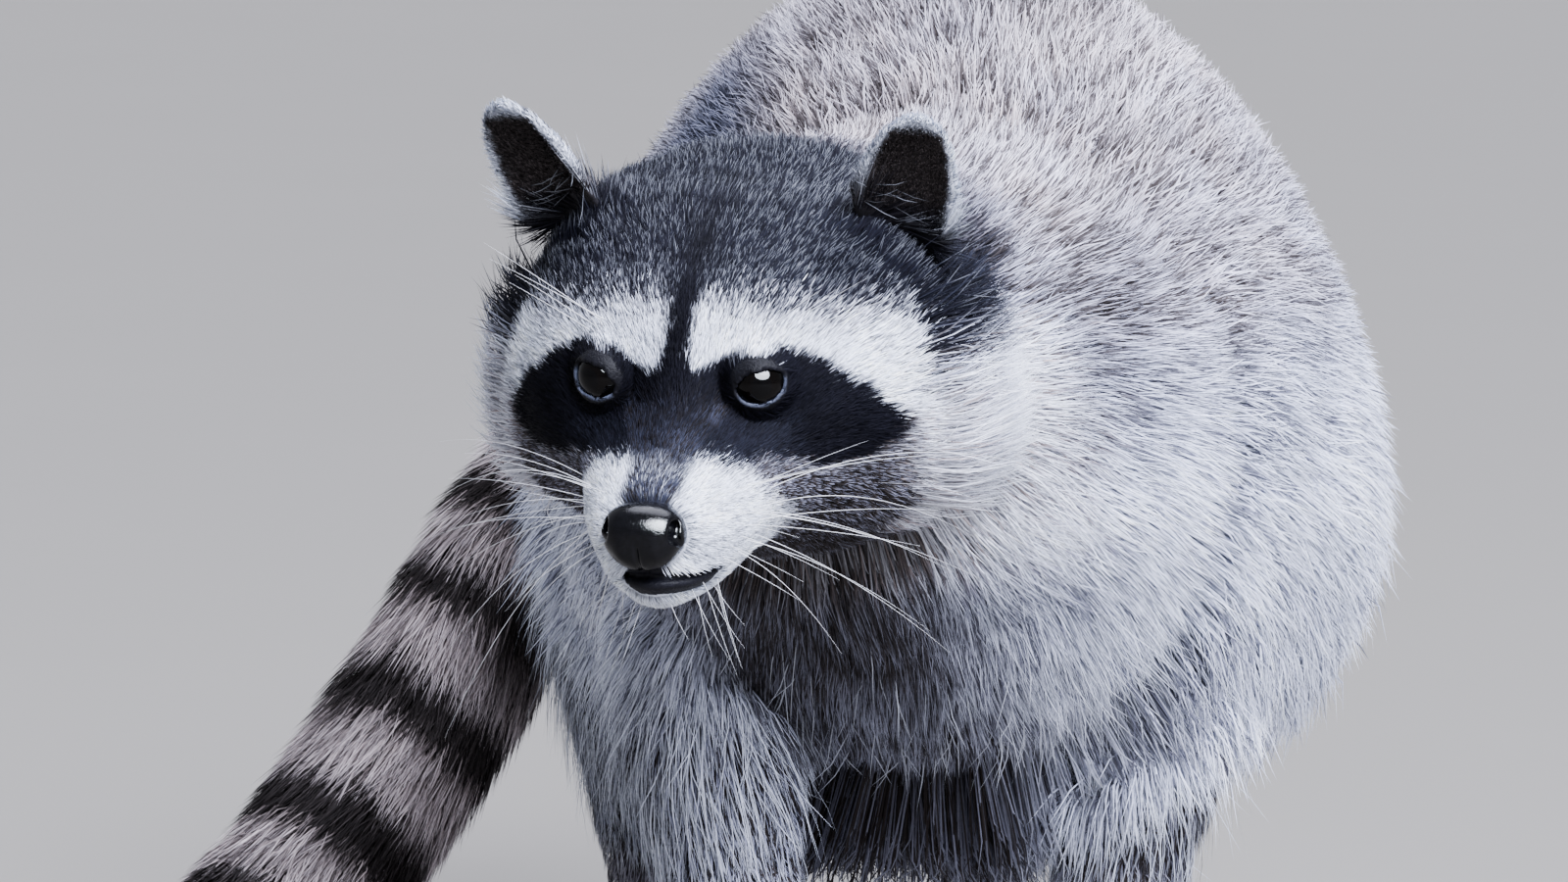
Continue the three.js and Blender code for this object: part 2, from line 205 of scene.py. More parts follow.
def wander(points, size, seed):
    """Smooth noise from -1 to 1 that changes over about that size in metres."""
    cells = 32
    table = np.random.default_rng(seed).uniform(-1, 1, (cells, cells, cells))
    p = points / size + 100.5
    i = np.floor(p).astype(int)
    f = smoothstep(0, 1, p - i)
    total = np.zeros(len(points))
    for corner in np.ndindex(2, 2, 2):
        weight = np.prod(np.where(np.array(corner), f, 1 - f), axis=1)
        total += weight * table[tuple(((i + corner) % cells).T)]
    return total


EAR_AXIS = unit(EAR_LEAN)
EAR_ASIDE = unit(np.cross(unit(EAR_FACING), EAR_AXIS))


# ---- Distance fields ----
class Field:
    """Values on a regular grid, read between its nodes in straight lines."""

    def __init__(self, values, start, step):
        self.values, self.start, self.step = values, np.asarray(start), step

    def at(self, points):
        """The value at each point; beyond the grid, that of its edge."""
        p = points / self.step - self.start
        top = np.array(self.values.shape[:3]) - 1.001
        p = np.clip(p, 0, top)
        i = p.astype(int)
        f = p - i
        total = 0
        for corner in np.ndindex(2, 2, 2):
            weight = np.prod(np.where(np.array(corner), f, 1 - f), axis=1)
            part = self.values[tuple((i + corner).T)]
            total = total + (weight if part.ndim == 1 else weight[:, None]) * part
        return total

    def slope(self, points, reach):
        """The direction in which the values rise, felt over that reach."""
        steps = np.eye(3) * reach
        return unit(np.stack([self.at(points + s) - self.at(points - s) for s in steps], axis=1))


def mesh_arrays(mesh):
    """The points and triangles of a mesh."""
    points = np.zeros(len(mesh.vertices) * 3, np.float32)
    mesh.vertices.foreach_get("co", points)
    mesh.calc_loop_triangles()
    triangles = np.zeros(len(mesh.loop_triangles) * 3, np.int32)
    mesh.loop_triangles.foreach_get("vertices", triangles)
    return points.reshape(-1, 3), triangles.reshape(-1, 3)


def level_set(points, step, band, triangles=None, quads=None):
    """Distance to a closed mesh, below zero inside it, in a grid that reaches band voxels out."""
    faces = {}
    if triangles is not None:
        faces["triangles"] = triangles.astype(np.uint32)
    if quads is not None:
        faces["quads"] = quads.astype(np.uint32)
    transform = openvdb.createLinearTransform(voxelSize=step)
    return openvdb.FloatGrid.createLevelSetFromPolygons(
        points.astype(np.float32), transform=transform, halfWidth=band, **faces
    )


def whole(numbers):
    """Grid places as plain whole numbers."""
    return tuple(int(n) for n in numbers)


def grid_array(grid, start, shape):
    """The values of a block of a grid."""
    values = np.zeros(whole(shape), np.float32)
    grid.copyToArray(values, ijk=whole(start))
    return values


def dense_grid(values, step, start=(0, 0, 0)):
    """A grid of those values, with three voxels' distance everywhere else."""
    grid = openvdb.FloatGrid(3 * step)
    grid.transform = openvdb.createLinearTransform(voxelSize=step)
    grid.copyFromArray(values, ijk=whole(start))
    return grid


def grid_places(*ranges):
    """Every place of a block of a grid, in its own three axes."""
    return np.stack(np.meshgrid(*ranges, indexing="ij"), -1)


def blur(values, times):
    """Each pass spreads a value over its neighbours along each axis."""
    for _ in range(times):
        for axis in range(3):
            middle = np.moveaxis(values, axis, 0)
            spread = middle.copy()
            spread[1:-1] = 0.25 * middle[:-2] + 0.5 * middle[1:-1] + 0.25 * middle[2:]
            values = np.moveaxis(spread, 0, axis)
    return np.ascontiguousarray(values)


def box_blur(values, radius):
    """The mean over a box that reaches radius nodes to each side."""
    for axis in range(3):
        v = np.moveaxis(values, axis, 0)
        padded = np.concatenate([np.repeat(v[:1], radius + 1, 0), v, np.repeat(v[-1:], radius, 0)])
        total = np.cumsum(padded, axis=0, dtype=np.float64)
        v = (total[2 * radius + 1 :] - total[: -2 * radius - 1]) / (2 * radius + 1)
        values = np.moveaxis(v.astype(np.float32), 0, axis)
    return np.ascontiguousarray(values)


def doubled(values):
    """The same field with a node added half way between each two."""
    for axis in range(3):
        v = np.moveaxis(values, axis, 0)
        out = np.empty((2 * len(v) - 1,) + v.shape[1:], v.dtype)
        out[::2] = v
        out[1::2] = 0.5 * (v[1:] + v[:-1])
        values = np.moveaxis(out, 0, axis)
    return np.ascontiguousarray(values)


def head_depth(q):
    """The coat's depth over the head in mm, at points of its own frame."""
    x = np.abs(q[:, 0])
    depth = 1.5 + 3.6 * smoothstep(-36, -6, q[:, 1]) + 6 * smoothstep(4, 38, q[:, 1])
    cheek = smoothstep(42, 66, x) * smoothstep(24, -8, q[:, 2]) * smoothstep(-36, -8, q[:, 1])
    throat = smoothstep(-30, -44, q[:, 2]) * smoothstep(-44, -20, q[:, 1])
    return depth + 6.5 * cheek + 5 * throat


def outline_and_shares(low, coarse_shape, fine_start, fine_shape):
    """Distance to the frame's nodes on the fine grid, and on the coarse one where each region is."""
    step = 2 * FINE
    outline = np.full(tuple(fine_shape), 3 * FINE, np.float32)
    shares = np.zeros((len(REGIONS),) + tuple(coarse_shape), np.float32)
    for region, (nodes, _) in enumerate(REGIONS.values()):
        for node in nodes:
            points, triangles = mesh_arrays(frame["nodes"][node].data)
            a = np.floor(points.min(0) / step - 2).astype(int) * 2
            b = np.ceil(points.max(0) / step + 2).astype(int) * 2 + 1
            values = grid_array(level_set(points, FINE, 3, triangles=triangles), a, b - a)
            room = tuple(slice(i - s, j - s) for i, j, s in zip(a, b, fine_start))
            outline[room] = np.minimum(outline[room], values)
            half = tuple(slice((i - s) // 2, (j - 1 - s) // 2 + 1) for i, j, s in zip(a, b, fine_start))
            shares[region][half] = np.maximum(shares[region][half], values[::2, ::2, ::2] < 0)
    return outline, shares


def coat_depth(shares, low):
    """Depth of the coat in mm on the coarse grid: each region's own, spread smoothly across borders."""
    where = grid_places(*[np.arange(n) for n in shares.shape[1:]])
    depths = np.zeros(shares.shape[1:], np.float32)
    for region, (name, (_, depth)) in enumerate(REGIONS.items()):
        inside = shares[region] > 0
        if name == "head":
            places = (where[inside] + low) * 2 * FINE
            depths[inside] += head_depth(to_head(places))
        else:
            depths[inside] += depth
    total = box_blur(box_blur(shares.sum(0), 1), 1)
    depths = box_blur(box_blur(depths, 1), 1) / np.maximum(total, 1e-3)
    # An ear stays whole down into the head, so the coat thins out about its root.
    by_ear = np.clip(6 * box_blur(box_blur(shares[REGION_NAMES.index("ears")], 1), 1), 0, 1)
    return mix(depths, REGIONS["ears"][1], by_ear)


def build_fields():
    """Distance to the frame's outline, each region's share, the coat's depth and the skin's own field."""
    step = 2 * FINE
    low = np.floor(np.array(FRAME_BOX[0]) / step - 5).astype(int)
    high = np.ceil(np.array(FRAME_BOX[1]) / step + 5).astype(int)
    coarse_shape = high - low + 1
    fine_start, fine_shape = 2 * low, 2 * (high - low) + 1
    outline, shares = outline_and_shares(low, coarse_shape, fine_start, fine_shape)
    # The narrow gaps between nodes are closed by meshing a little outside them all.
    outside = 0.6 * MM
    points, quads = dense_grid(outline, FINE, fine_start).convertToQuads(isovalue=outside)
    near = grid_array(level_set(points, FINE, 3, quads=quads), fine_start, fine_shape) + outside
    far = grid_array(level_set(points, step, 11, quads=quads), low, coarse_shape) + outside

    depths = coat_depth(shares, low)
    spread = np.stack([box_blur(box_blur(share, 2), 1) for share in shares], -1)
    spread /= np.maximum(spread.sum(-1, keepdims=True), 1e-4)
    made["outline"] = Field(far, low, step)
    made["shares"] = Field(spread, low, step)
    made["depth"] = Field(depths.astype(np.float32), low, step)

    # The skin lies under the coat, smoothed more where the coat is deep.
    depth = doubled(depths.astype(np.float32)) * MM
    thin = 1 - smoothstep(2.2 * MM, 3.6 * MM, depth)
    skin = blur((mix(doubled(far), near, thin) + depth).astype(np.float32), 1)
    skin = mix(blur(skin, 2), skin, 1 - smoothstep(1 * MM, 4 * MM, depth)).astype(np.float32)
    made["skin"] = Field(skin, fine_start, FINE)


# ---- The face: lids, lips and the bridge of the nose ----
def eye_frame():
    """Centre of the left eye in the head's frame, with its sideways, upward and forward directions."""
    head = bpy.context.scene.raccoon_head
    centre = np.array([head.eye_out, -head.eye_forward, head.eye_up]) / MM
    forward = unit(np.array([0.36, -0.92, 0.08]))
    aside = unit(np.cross([0, 0, 1.0], forward))
    return centre, aside, np.cross(forward, aside), forward


def in_eye(q):
    """Points of the head's frame in that of the eye on their side, mirrored to the left one."""
    centre, aside, up, forward = eye_frame()
    return (to_left(q) - centre) @ np.stack([aside, up, forward], 1)


def lid_opening(p):
    """Below zero between the lids; p is in the eye's own frame, mirrored to the left eye, in mm."""
    head = bpy.context.scene.raccoon_head
    wide, high = head.lid_width / MM / 2, head.lid_height / MM / 2
    u = p[:, 0] / wide
    v = (p[:, 1] - 0.14 * p[:, 0]) / high
    bow = np.where(v > 0, 0.82, 0.95)
    return (np.sqrt(np.abs(u) ** 2.3 + np.abs(v / bow) ** 2.0) - 1) * high * 0.8


def mouth_line(x):
    """Level of the mouth at a distance to the side, in the head's frame in mm."""
    level = bpy.context.scene.raccoon_head.mouth_level / MM
    return level - 1.2 * smoothstep(4, 16, x) + 1.8 * smoothstep(17, 27, x)


def face_form(base, q):
    """The skin's field with lids and lips worked into it; q is in the head's frame, in mm."""
    base = base / MM
    side, centre, p = to_left(q), eye_frame()[0], in_eye(q)
    radius = bpy.context.scene.raccoon_head.eye_radius / MM
    reach = np.linalg.norm(side - centre, axis=1)
    lid = np.where(p[:, 2] > -2, reach - (radius + 0.95), 3.0)
    form = smooth_min(base, lid, 3.0)
    # A fold above the eye and the hollow at its inner corner.
    fold = np.exp(-(((reach - radius - 4.2) / 1.6) ** 2))
    fold = fold * smoothstep(-2, 5, p[:, 1]) * smoothstep(0, 4, p[:, 2])
    form = form + 0.5 * fold
    opening = np.maximum(lid_opening(p), 1.2 - p[:, 2])
    form = smooth_max(form, -opening, 0.5)
    # The mouth: a slit that ends under the cheek, with a rolled lip below it.
    x, y, z = side.T
    ends = smoothstep(27, 22, x) * smoothstep(-38, -46, y)
    off = z - mouth_line(x)
    form = form + 1.9 * ends * np.exp(-((off / 0.9) ** 2))
    form = form - 0.9 * ends * np.exp(-(((off + 2.6) / 1.8) ** 2)) * smoothstep(20, 10, x)
    # The groove from the nose to the lip.
    groove = np.exp(-((x / 0.8) ** 2)) * smoothstep(-70, -76, y)
    groove = groove * smoothstep(mouth_line(x), mouth_line(x) + 2, z)
    form = form + 1.0 * groove * smoothstep(-22, -26, z)
    return form * MM


def skin_value(points):
    """The finished skin's field at any points."""
    base = made["skin"].at(points)
    q = to_head(points)
    near = (q[:, 1] < -8) & (q[:, 2] > -60) & (np.abs(q[:, 0]) < 60)
    base[near] = face_form(base[near], q[near])
    return base


def shape_face_voxels():
    """Works the face into the fine field before it is meshed."""
    field = made["skin"]
    corners = from_head([(x, y, z) for x in (-45, 45) for y in (-92, -8) for z in (-50, 40)])
    low = np.floor(corners.min(0) / field.step).astype(int) - field.start
    high = np.ceil(corners.max(0) / field.step).astype(int) - field.start
    low, high = np.maximum(low, 0), np.minimum(high, np.array(field.values.shape) - 1)
    where = grid_places(*[np.arange(a, b) for a, b in zip(low, high)])
    points = (where.reshape(-1, 3) + field.start) * field.step
    shaped = field.values.copy()
    room = tuple(slice(a, b) for a, b in zip(low, high))
    shaped[room] = skin_value(points).reshape(shaped[room].shape)
    return shaped


def biggest_part(points, faces):
    """The largest connected part of a mesh; a face is a row of four corners."""
    # Every point takes the lowest label among its faces until nothing changes.
    label = np.arange(len(points))
    for _ in range(400):
        low = label[faces].min(1)
        fresh = label.copy()
        np.minimum.at(fresh, faces.ravel(), np.repeat(low, 4))
        fresh = fresh[fresh]
        if (fresh == label).all():
            break
        label = fresh
    kept = label == np.bincount(label).argmax()
    index = np.cumsum(kept) - 1
    return points[kept], index[faces[kept[faces[:, 0]]]]


def refine(mesh, chosen, target):
    """Splits the edges about the chosen points until they are about that long."""
    bm = bmesh.new()
    bm.from_mesh(mesh)
    for _ in range(3):
        co = np.array([v.co for v in bm.verts])
        flags = chosen(co)
        if not flags.any():
            break
        bm.verts.index_update()
        edges = [
            e for e in bm.edges
            if flags[e.verts[0].index] and flags[e.verts[1].index] and e.calc_length() > target
        ]
        if not edges:
            break
        bmesh.ops.subdivide_edges(bm, edges=edges, cuts=1, use_grid_fill=True)
    bmesh.ops.triangulate(bm, faces=[f for f in bm.faces if len(f.verts) > 4])
    bm.to_mesh(mesh)
    bm.free()


def lay_on_skin(points, times=3):
    """Moves points that are near the skin onto it, a short step at a time."""
    reach, longest = 0.35 * MM, 0.8 * MM
    for _ in range(times):
        value = skin_value(points)
        rises = [skin_value(points + s) - skin_value(points - s) for s in np.eye(3) * reach]
        slope = np.stack(rises, 1) / (2 * reach)
        size = np.maximum((slope**2).sum(1), 0.25)
        points = points - slope * np.clip(value / size, -longest, longest)[:, None]
    return points


def about_face(points):
    """True near the eyes, the mouth and the front of the nose, where the skin's mesh is finer."""
    q = to_head(points)
    x, y, z = to_left(q).T
    eyes = np.linalg.norm(to_left(q) - eye_frame()[0], axis=1) < 15
    mouth = (y < -44) & (np.abs(z - mouth_line(x)) < 6.5) & (x < 30)
    front = (y < -66) & (z > -40)
    return eyes | mouth | front


def build_skin_mesh():
    """Meshes the skin's field and refines it about the eyes, the mouth and the nose."""
    values = np.clip(shape_face_voxels(), -3 * FINE, 3 * FINE)
    grid = dense_grid(values, FINE, made["skin"].start)
    points, triangles, quads = grid.convertToPolygons(isovalue=0.0, adaptivity=0.12)
    faces = np.vstack([quads.astype(np.int64), triangles.astype(np.int64)[:, [0, 1, 2, 2]]])
    points, faces = biggest_part(points.astype(float), faces)
    mesh = bpy.data.meshes.new("skin")
    fill_mesh(mesh, points, faces)
    refine(mesh, about_face, 0.75 * MM)
    co = np.zeros(len(mesh.vertices) * 3)
    mesh.vertices.foreach_get("co", co)
    co = co.reshape(-1, 3)
    chosen = about_face(co)
    co[chosen] = lay_on_skin(co[chosen])
    co[:, 2] = np.maximum(co[:, 2], 0.2 * MM)
    mesh.vertices.foreach_set("co", co.ravel())
    mesh.update()
    return mesh


def fill_mesh(mesh, points, faces):
    """Sets a mesh's points and faces, which are rows of four corners, the last one twice in a triangle."""
    faces = np.asarray(faces)
    three = faces[:, 2] == faces[:, 3]
    sizes = np.where(three, 3, 4)
    corners = faces.ravel()[np.stack([np.ones_like(three)] * 3 + [~three], 1).ravel()]
    mesh.vertices.add(len(points))
    mesh.vertices.foreach_set("co", np.asarray(points, np.float32).ravel())
    mesh.loops.add(len(corners))
    mesh.loops.foreach_set("vertex_index", corners.astype(np.int32))
    mesh.polygons.add(len(faces))
    mesh.polygons.foreach_set("loop_start", (np.cumsum(sizes) - sizes).astype(np.int32))
    mesh.polygons.foreach_set("use_smooth", np.ones(len(faces), bool))
    mesh.update(calc_edges=True)
    mesh.validate()


# ---- The lie of the coat ----
def along_tail(points):
    """Distance along the tail in mm, and the direction and the point of its middle line there."""
    line = [TAIL_LINE[0]]
    for a, b in zip(TAIL_LINE[:-1], TAIL_LINE[1:]):
        line += [mix(a, b, k / 6) for k in range(1, 7)]
    line = np.array(line)
    for _ in range(6):
        line[1:-1] = 0.25 * line[:-2] + 0.5 * line[1:-1] + 0.25 * line[2:]
    run = np.concatenate([[0], np.cumsum(np.linalg.norm(np.diff(line, axis=0), axis=1))])
    course = unit(np.gradient(line, axis=0))
    parts = np.array_split(points, max(1, len(points) // 4000))
    nearest = np.concatenate([((p[:, None] - line[None]) ** 2).sum(-1).argmin(1) for p in parts])
    forward = dot(points - line[nearest], course[nearest])[:, 0]
    return (run[nearest] + forward) / MM, course[nearest], line[nearest]


def lie_of_coat(points, normals, shares, edges):
    """The way the hair lies: away from the nose, back over the trunk, down the legs, along the tail."""
    share = {name: shares[:, i : i + 1] for i, name in enumerate(REGION_NAMES)}
    q = to_head(points)
    from_nose = head_direction(unit(q - NOSE_FRONT))
    sinking = 0.12 + 0.95 * smoothstep(0.30, 0.17, points[:, 2:3])
    trunk = np.array([0, 0.85, 0]) - np.array([0, 0, 1]) * sinking
    ear = head_direction(EAR_LEAN * own_side(q))
    tail = along_tail(points)[1]
    lie = (
        (share["muzzle"] + share["jaw"] + share["nose"] + share["head"]) * from_nose
        + share["neck"] * (0.45 * from_nose + 0.65 * trunk)
        + (share["chest"] + share["belly"] + share["rump"]) * trunk
        + (share["upper_legs"] + share["lower_legs"]) * np.array([0, 0.1, -1.0])
        + share["feet"] * np.array([0, -1.0, -0.3])
        + share["tail"] * tail
        + share["ears"] * ear * 2
    )
    a, b = edges[:, 0], edges[:, 1]
    count = np.bincount(np.concatenate([a, b]), minlength=len(points))[:, None] + 1
    for _ in range(14):
        lie = unit(lie - normals * dot(lie, normals))
        near = [
            np.bincount(a, lie[b, k], len(points)) + np.bincount(b, lie[a, k], len(points))
            for k in range(3)
        ]
        lie = (lie + np.stack(near, 1)) / count
    return unit(lie - normals * dot(lie, normals))


def read_skin():
    """The skin's arrays that the coat grows from."""
    mesh = bpy.data.objects["skin"].data
    points, triangles = mesh_arrays(mesh)
    points = points.astype(float)
    normals = np.zeros(len(points) * 3, np.float32)
    mesh.vertices.foreach_get("normal", normals)
    normals = unit(normals.reshape(-1, 3).astype(float))
    edges = np.zeros(len(mesh.edges) * 2, np.int32)
    mesh.edges.foreach_get("vertices", edges)
    shares = made["shares"].at(points)
    lie = lie_of_coat(points, normals, shares, edges.reshape(-1, 2))
    a, b, c = (points[triangles[:, k]] for k in range(3))
    area = np.linalg.norm(np.cross(b - a, c - a), axis=1) / 2
    made.update(points=points, triangles=triangles, normals=normals, lie=lie, area=area, share=shares)
    made["region"] = shares[triangles].mean(1).argmax(1)


# ---- Markings ----
def zone(light, dark, share):
    """Root, middle and tip colours of light and of dark locks, and the share of locks that is light."""
    return np.array([light, dark]), share


def zones():
    """Colours of every zone of the coat."""
    c = bpy.context.scene.raccoon_colours
    black, white, silver = np.array(c.black), np.array(c.white), np.array(c.silver)
    beige, brown, blue = np.array(c.beige), np.array(c.brown), np.array(c.blue_grey)
    return {
        "black": zone((black, black, black * 1.6), (black, black * 0.8, black * 0.8), 0.4),
        # Black hair with bluish tips: a painted sheen on the mask.
        "slate": zone((black, blue * 0.22, blue * 0.35), (black, black, black * 2), 0.6),
        "white": zone((white * 0.3, white * 0.93, white), (blue, white * 0.3, white * 0.6), 0.82),
        "bridge": zone(
            (blue * 0.2, blue * 0.5, mix(blue, silver, 0.03)),
            (blue * 0.15, brown * 0.4, brown * 0.6),
            0.6,
        ),
        "crown": zone(
            (black * 1.2, blue * 0.2, white * 0.18),
            (black * 0.7, black * 1.4, blue * 0.16),
            0.38,
        ),
        "nape": zone(
            (black * 3, blue * 0.5, silver * 0.55),
            (black * 2, blue * 0.25, blue * 0.35),
            0.46,
        ),
        "cheek": zone(
            (brown * 0.5, brown * 1.6, silver * 0.85),
            (brown * 0.3, brown * 0.4, brown * 0.7),
            0.45,
        ),
        "ruff": zone(
            (brown * 2, mix(beige, white, 0.7), white),
            (brown, beige * 0.8, silver),
            0.9,
        ),
        "silver": zone(
            (brown * 0.8, silver * 0.7, mix(silver, white, 0.42)),
            (brown * 0.6, brown * 1.3, mix(brown, silver, 0.18)),
            0.58,
        ),
        "beige": zone(
            (brown * 0.8, beige * 0.8, mix(beige, white, 0.3)),
            (brown * 0.6, brown * 1.3, mix(brown, beige, 0.17)),
            0.55,
        ),
        "pale": zone(
            (silver * 0.5, mix(silver, white, 0.5), mix(silver, white, 0.95)),
            (brown * 1.2, silver * 0.35, silver * 0.6),
            0.82,
        ),
        "throat": zone(
            (brown * 0.3, brown * 1.1, silver * 0.33),
            (brown * 0.3, brown * 0.6, brown * 0.8),
            0.44,
        ),
        "dark": zone(
            (black * 0.6, blue * 0.2, blue * 0.45),
            (black * 0.6, black * 0.9, black * 1.3),
            0.4,
        ),
        "leg": zone(
            (brown * 0.5, silver * 0.5, white * 0.6),
            (brown * 0.3, brown * 0.6, brown * 0.5),
            0.56,
        ),
        "paw": zone(
            (brown, mix(silver, beige, 0.75) * 0.6, mix(beige, white, 0.35) * 0.8),
            (brown * 0.8, brown * 2, brown * 1.4),
            0.62,
        ),
        "ring": zone(
            (brown * 0.4, brown * 0.7, brown * 1.1),
            (brown * 0.3, brown * 0.35, brown * 0.4),
            0.5,
        ),
        "ear": zone(
            (brown * 0.5, brown * 1.3, brown * 3.6),
            (black, brown * 0.4, brown * 0.8),
            0.45,
        ),
        "band": zone(
            (brown * 0.7, beige * 0.65, mix(beige, white, 0.15)),
            (brown * 0.6, beige * 0.35, brown * 1.5),
            0.84,
        ),
    }


# Lines of the face in the head's own frame, in mm: distances to the side and the line's height there.
BROW_TOP = (0, 3, 17, 31, 47, 62, 71, 84), (38, 37.5, 35.5, 32.5, 28.5, 24, 18, 8)
BROW_FOOT = (
    (0, 5, 9, 14.5, 19.5, 30, 42, 54, 61, 67, 75),
    (20, 21, 22, 25, 27.4, 27, 20.5, 9.5, -1, -13, -22),
)
MASK_FOOT = (0, 10, 14, 22, 31, 41, 50, 57, 62), (2, 1, -0.5, -3.5, -5, -11, -11.5, -8, -3)
# Half widths: the white snout's and the stripe's at heights, the bridge's at places back from the nose.
SNOUT = (-46, -34, -25, -16, -8, -1, 4), (10, 24, 31, 29, 26, 19, 10)
STRIPE = (18, 24, 33, 40, 57, 66), (6.6, 5.2, 3.8, 4.4, 6.5, 8)
BRIDGE = (-84, -74, -62, -50, -42), (6.5, 8, 9.5, 12, 15)
# Middles of the tail's light bands, and between them its dark rings, in mm along it; its tip is dark.
TAIL_BANDS = (86, 122, 160, 210, 268, 325)
TAIL_TIP = 296
# Darker places on the trunk, in metres: the left shoulder by the cheek and the breast below it.
SHOULDER = np.array([0.114, -0.118, 0.28])
BREAST_SIDE = np.array([0.088, -0.145, 0.180])


class Layers:
    """How much each zone counts at every point; a layer covers those painted before it."""

    def __init__(self, count):
        self.weight = {name: np.zeros(count) for name in zones()}

    def paint(self, name, amount):
        """Covers the points with one zone by that amount, from 0 to 1."""
        for other in self.weight:
            self.weight[other] *= 1 - amount
        self.weight[name] += amount


class Face:
    """Points in the head's frame, mirrored to its left, with the lines of the face beside each."""

    def __init__(self, q, share, fade):
        self.x, self.y, self.z = to_left(q).T
        self.fade = fade
        flesh = share["head"] + share["muzzle"] + share["jaw"] + share["nose"] + share["ears"]
        self.head = np.clip(flesh * 1.6, 0, 1)
        self.neck = share["neck"]
        self.near = smoothstep(104, 64, self.y) * smoothstep(-80, -50, self.z)
        self.near = self.near * np.clip(self.head + self.neck, 0, 1)
        self.brow_top = np.interp(self.x, *BROW_TOP)
        self.mask_foot = np.interp(self.x, *MASK_FOOT)
        self.snout = np.interp(self.z, *SNOUT)


def spot(points, centre, radius):
    """A round patch that fades from its centre out."""
    return np.exp(-((points - centre) ** 2 / radius**2).sum(1))


def mark_trunk(paint, points, normals, share, patch):
    """Silver, warmer on the back, paler low on the flanks, brown under the throat and on the breast."""
    x, y, z = points.T
    facing_up = normals[:, 2]
    paint("silver", np.ones(len(points)))
    paint("beige", np.clip(smoothstep(0.1, 0.9, facing_up) * 0.75 + 0.35 * patch, 0, 1))
    flank = smoothstep(0.285, 0.20, z) * smoothstep(0.9, 0.5, np.abs(facing_up))
    paint("pale", np.clip(flank * 0.85 + 0.2 * patch, 0, 1) * smoothstep(0.05, 0.3, flank))
    paint("dark", 0.5 * smoothstep(0.80, 0.97, facing_up + 0.1 * patch) * smoothstep(-0.02, 0.08, y))
    # The nape's dark hair on the right side of the back, darkened further there as painted shade on that
    # side.
    nape = smoothstep(0.020, -0.012, x) * smoothstep(0.275, 0.305, z) * smoothstep(0.16, 0.02, y)
    paint("nape", np.clip(nape * 1.1 + 0.15 * patch, 0, 1) * smoothstep(0, 0.2, nape))
    paint("cheek", 0.38 * np.clip(spot(points, SHOULDER, 0.034) * (1 + patch), 0, 1))
    paint("throat", 0.42 * np.clip(spot(points, BREAST_SIDE, 0.03) * (1 + patch), 0, 1))
    under = smoothstep(-0.35, -0.85, facing_up)
    over_leg = smoothstep(0.072, 0.095, x) * smoothstep(0.05, 0, y)
    paint("throat", 0.7 * under * (1 - over_leg))
    paint("pale", 0.45 * under * over_leg)
    chest = smoothstep(0.044, 0.020, np.abs(x - 0.028)) * smoothstep(0.24, 0.20, z)
    chest = 0.85 * chest * smoothstep(0.1, -0.5, normals[:, 1])
    paint("throat", chest * (share["neck"] + share["chest"] > 0.3))
    paint("silver", 0.38 * under * (1 - over_leg) * smoothstep(0.165, 0.14, z))


def mark_legs(paint, points, share):
    """Grey legs, pale at the top, painted shade on the left foreleg's root, and light feet."""
    x, y, z = points.T
    legs = np.clip(share["upper_legs"] * 1.4 + share["lower_legs"] * 1.5, 0, 1)
    paint("leg", legs)
    paint("pale", 0.5 * legs * smoothstep(0.13, 0.155, z))
    # Painted shade in brown on the top of the left foreleg, under the trunk.
    shaded = smoothstep(0.07, 0.10, x) * smoothstep(0.03, 0, y) * smoothstep(0.17, 0.14, z)
    paint("throat", 0.6 * legs * shaded)
    paint("paw", np.clip(share["feet"] * 1.5 + 0.4 * share["lower_legs"], 0, 1))


def mark_tail(paint, normals, share, run):
    """Dark rings between light bands; run is how far along the tail each point is, in mm."""
    tail = np.clip(share["tail"] * 1.6, 0, 1) * smoothstep(30, 60, run)
    paint("band", tail)
    turn = np.interp(run, TAIL_BANDS, np.arange(len(TAIL_BANDS)))
    rings = smoothstep(-0.15, 0.4, -np.cos(2 * np.pi * turn))
    tip = smoothstep(TAIL_TIP - 4, TAIL_TIP + 4, run)
    paint("ring", tail * np.maximum(rings * (run > TAIL_BANDS[0] - 2), tip))
    # The side of the tail towards the body, near its root: painted shade together with the rump's darker
    # fur.
    paint("ring", 0.8 * tail * smoothstep(-0.2, 0.5, normals[:, 0]) * smoothstep(176, 150, run))


def mark_crown(paint, face, patch):
    """The nape, the crown, the white brows and the ruff below and behind them."""
    x, y, z, fade, brow_top = face.x, face.y, face.z, face.fade, face.brow_top
    nape = 0.9 * face.neck * smoothstep(12, 30, z)
    paint("nape", nape * smoothstep(76, 54, x) * smoothstep(116, 74, y))
    paint("crown", face.head * smoothstep(brow_top - 4, brow_top + 6, z + 1.2 * fade))
    ruff = face.near * smoothstep(brow_top + 4, brow_top - 6, z + fade) * smoothstep(80, 50, y + fade)
    paint("ruff", ruff * smoothstep(16, 4, z - brow_top * (x < 70) + fade))
    brow = face.head * smoothstep(brow_top + 5, brow_top - 5, z + 1.2 * fade) * smoothstep(-4, 6, z)
    paint("white", brow * smoothstep(84, 58, x + 2 * fade) * smoothstep(30, 10, y))
    behind = np.exp(-(((x - 93 + fade) / 9) ** 2)) * smoothstep(-52, -30, z + fade)
    behind = behind * smoothstep(34, 12, z) * smoothstep(26, 44, y)
    paint("cheek", 0.5 * face.neck * np.clip(behind * (1 + 0.6 * patch), 0, 1))


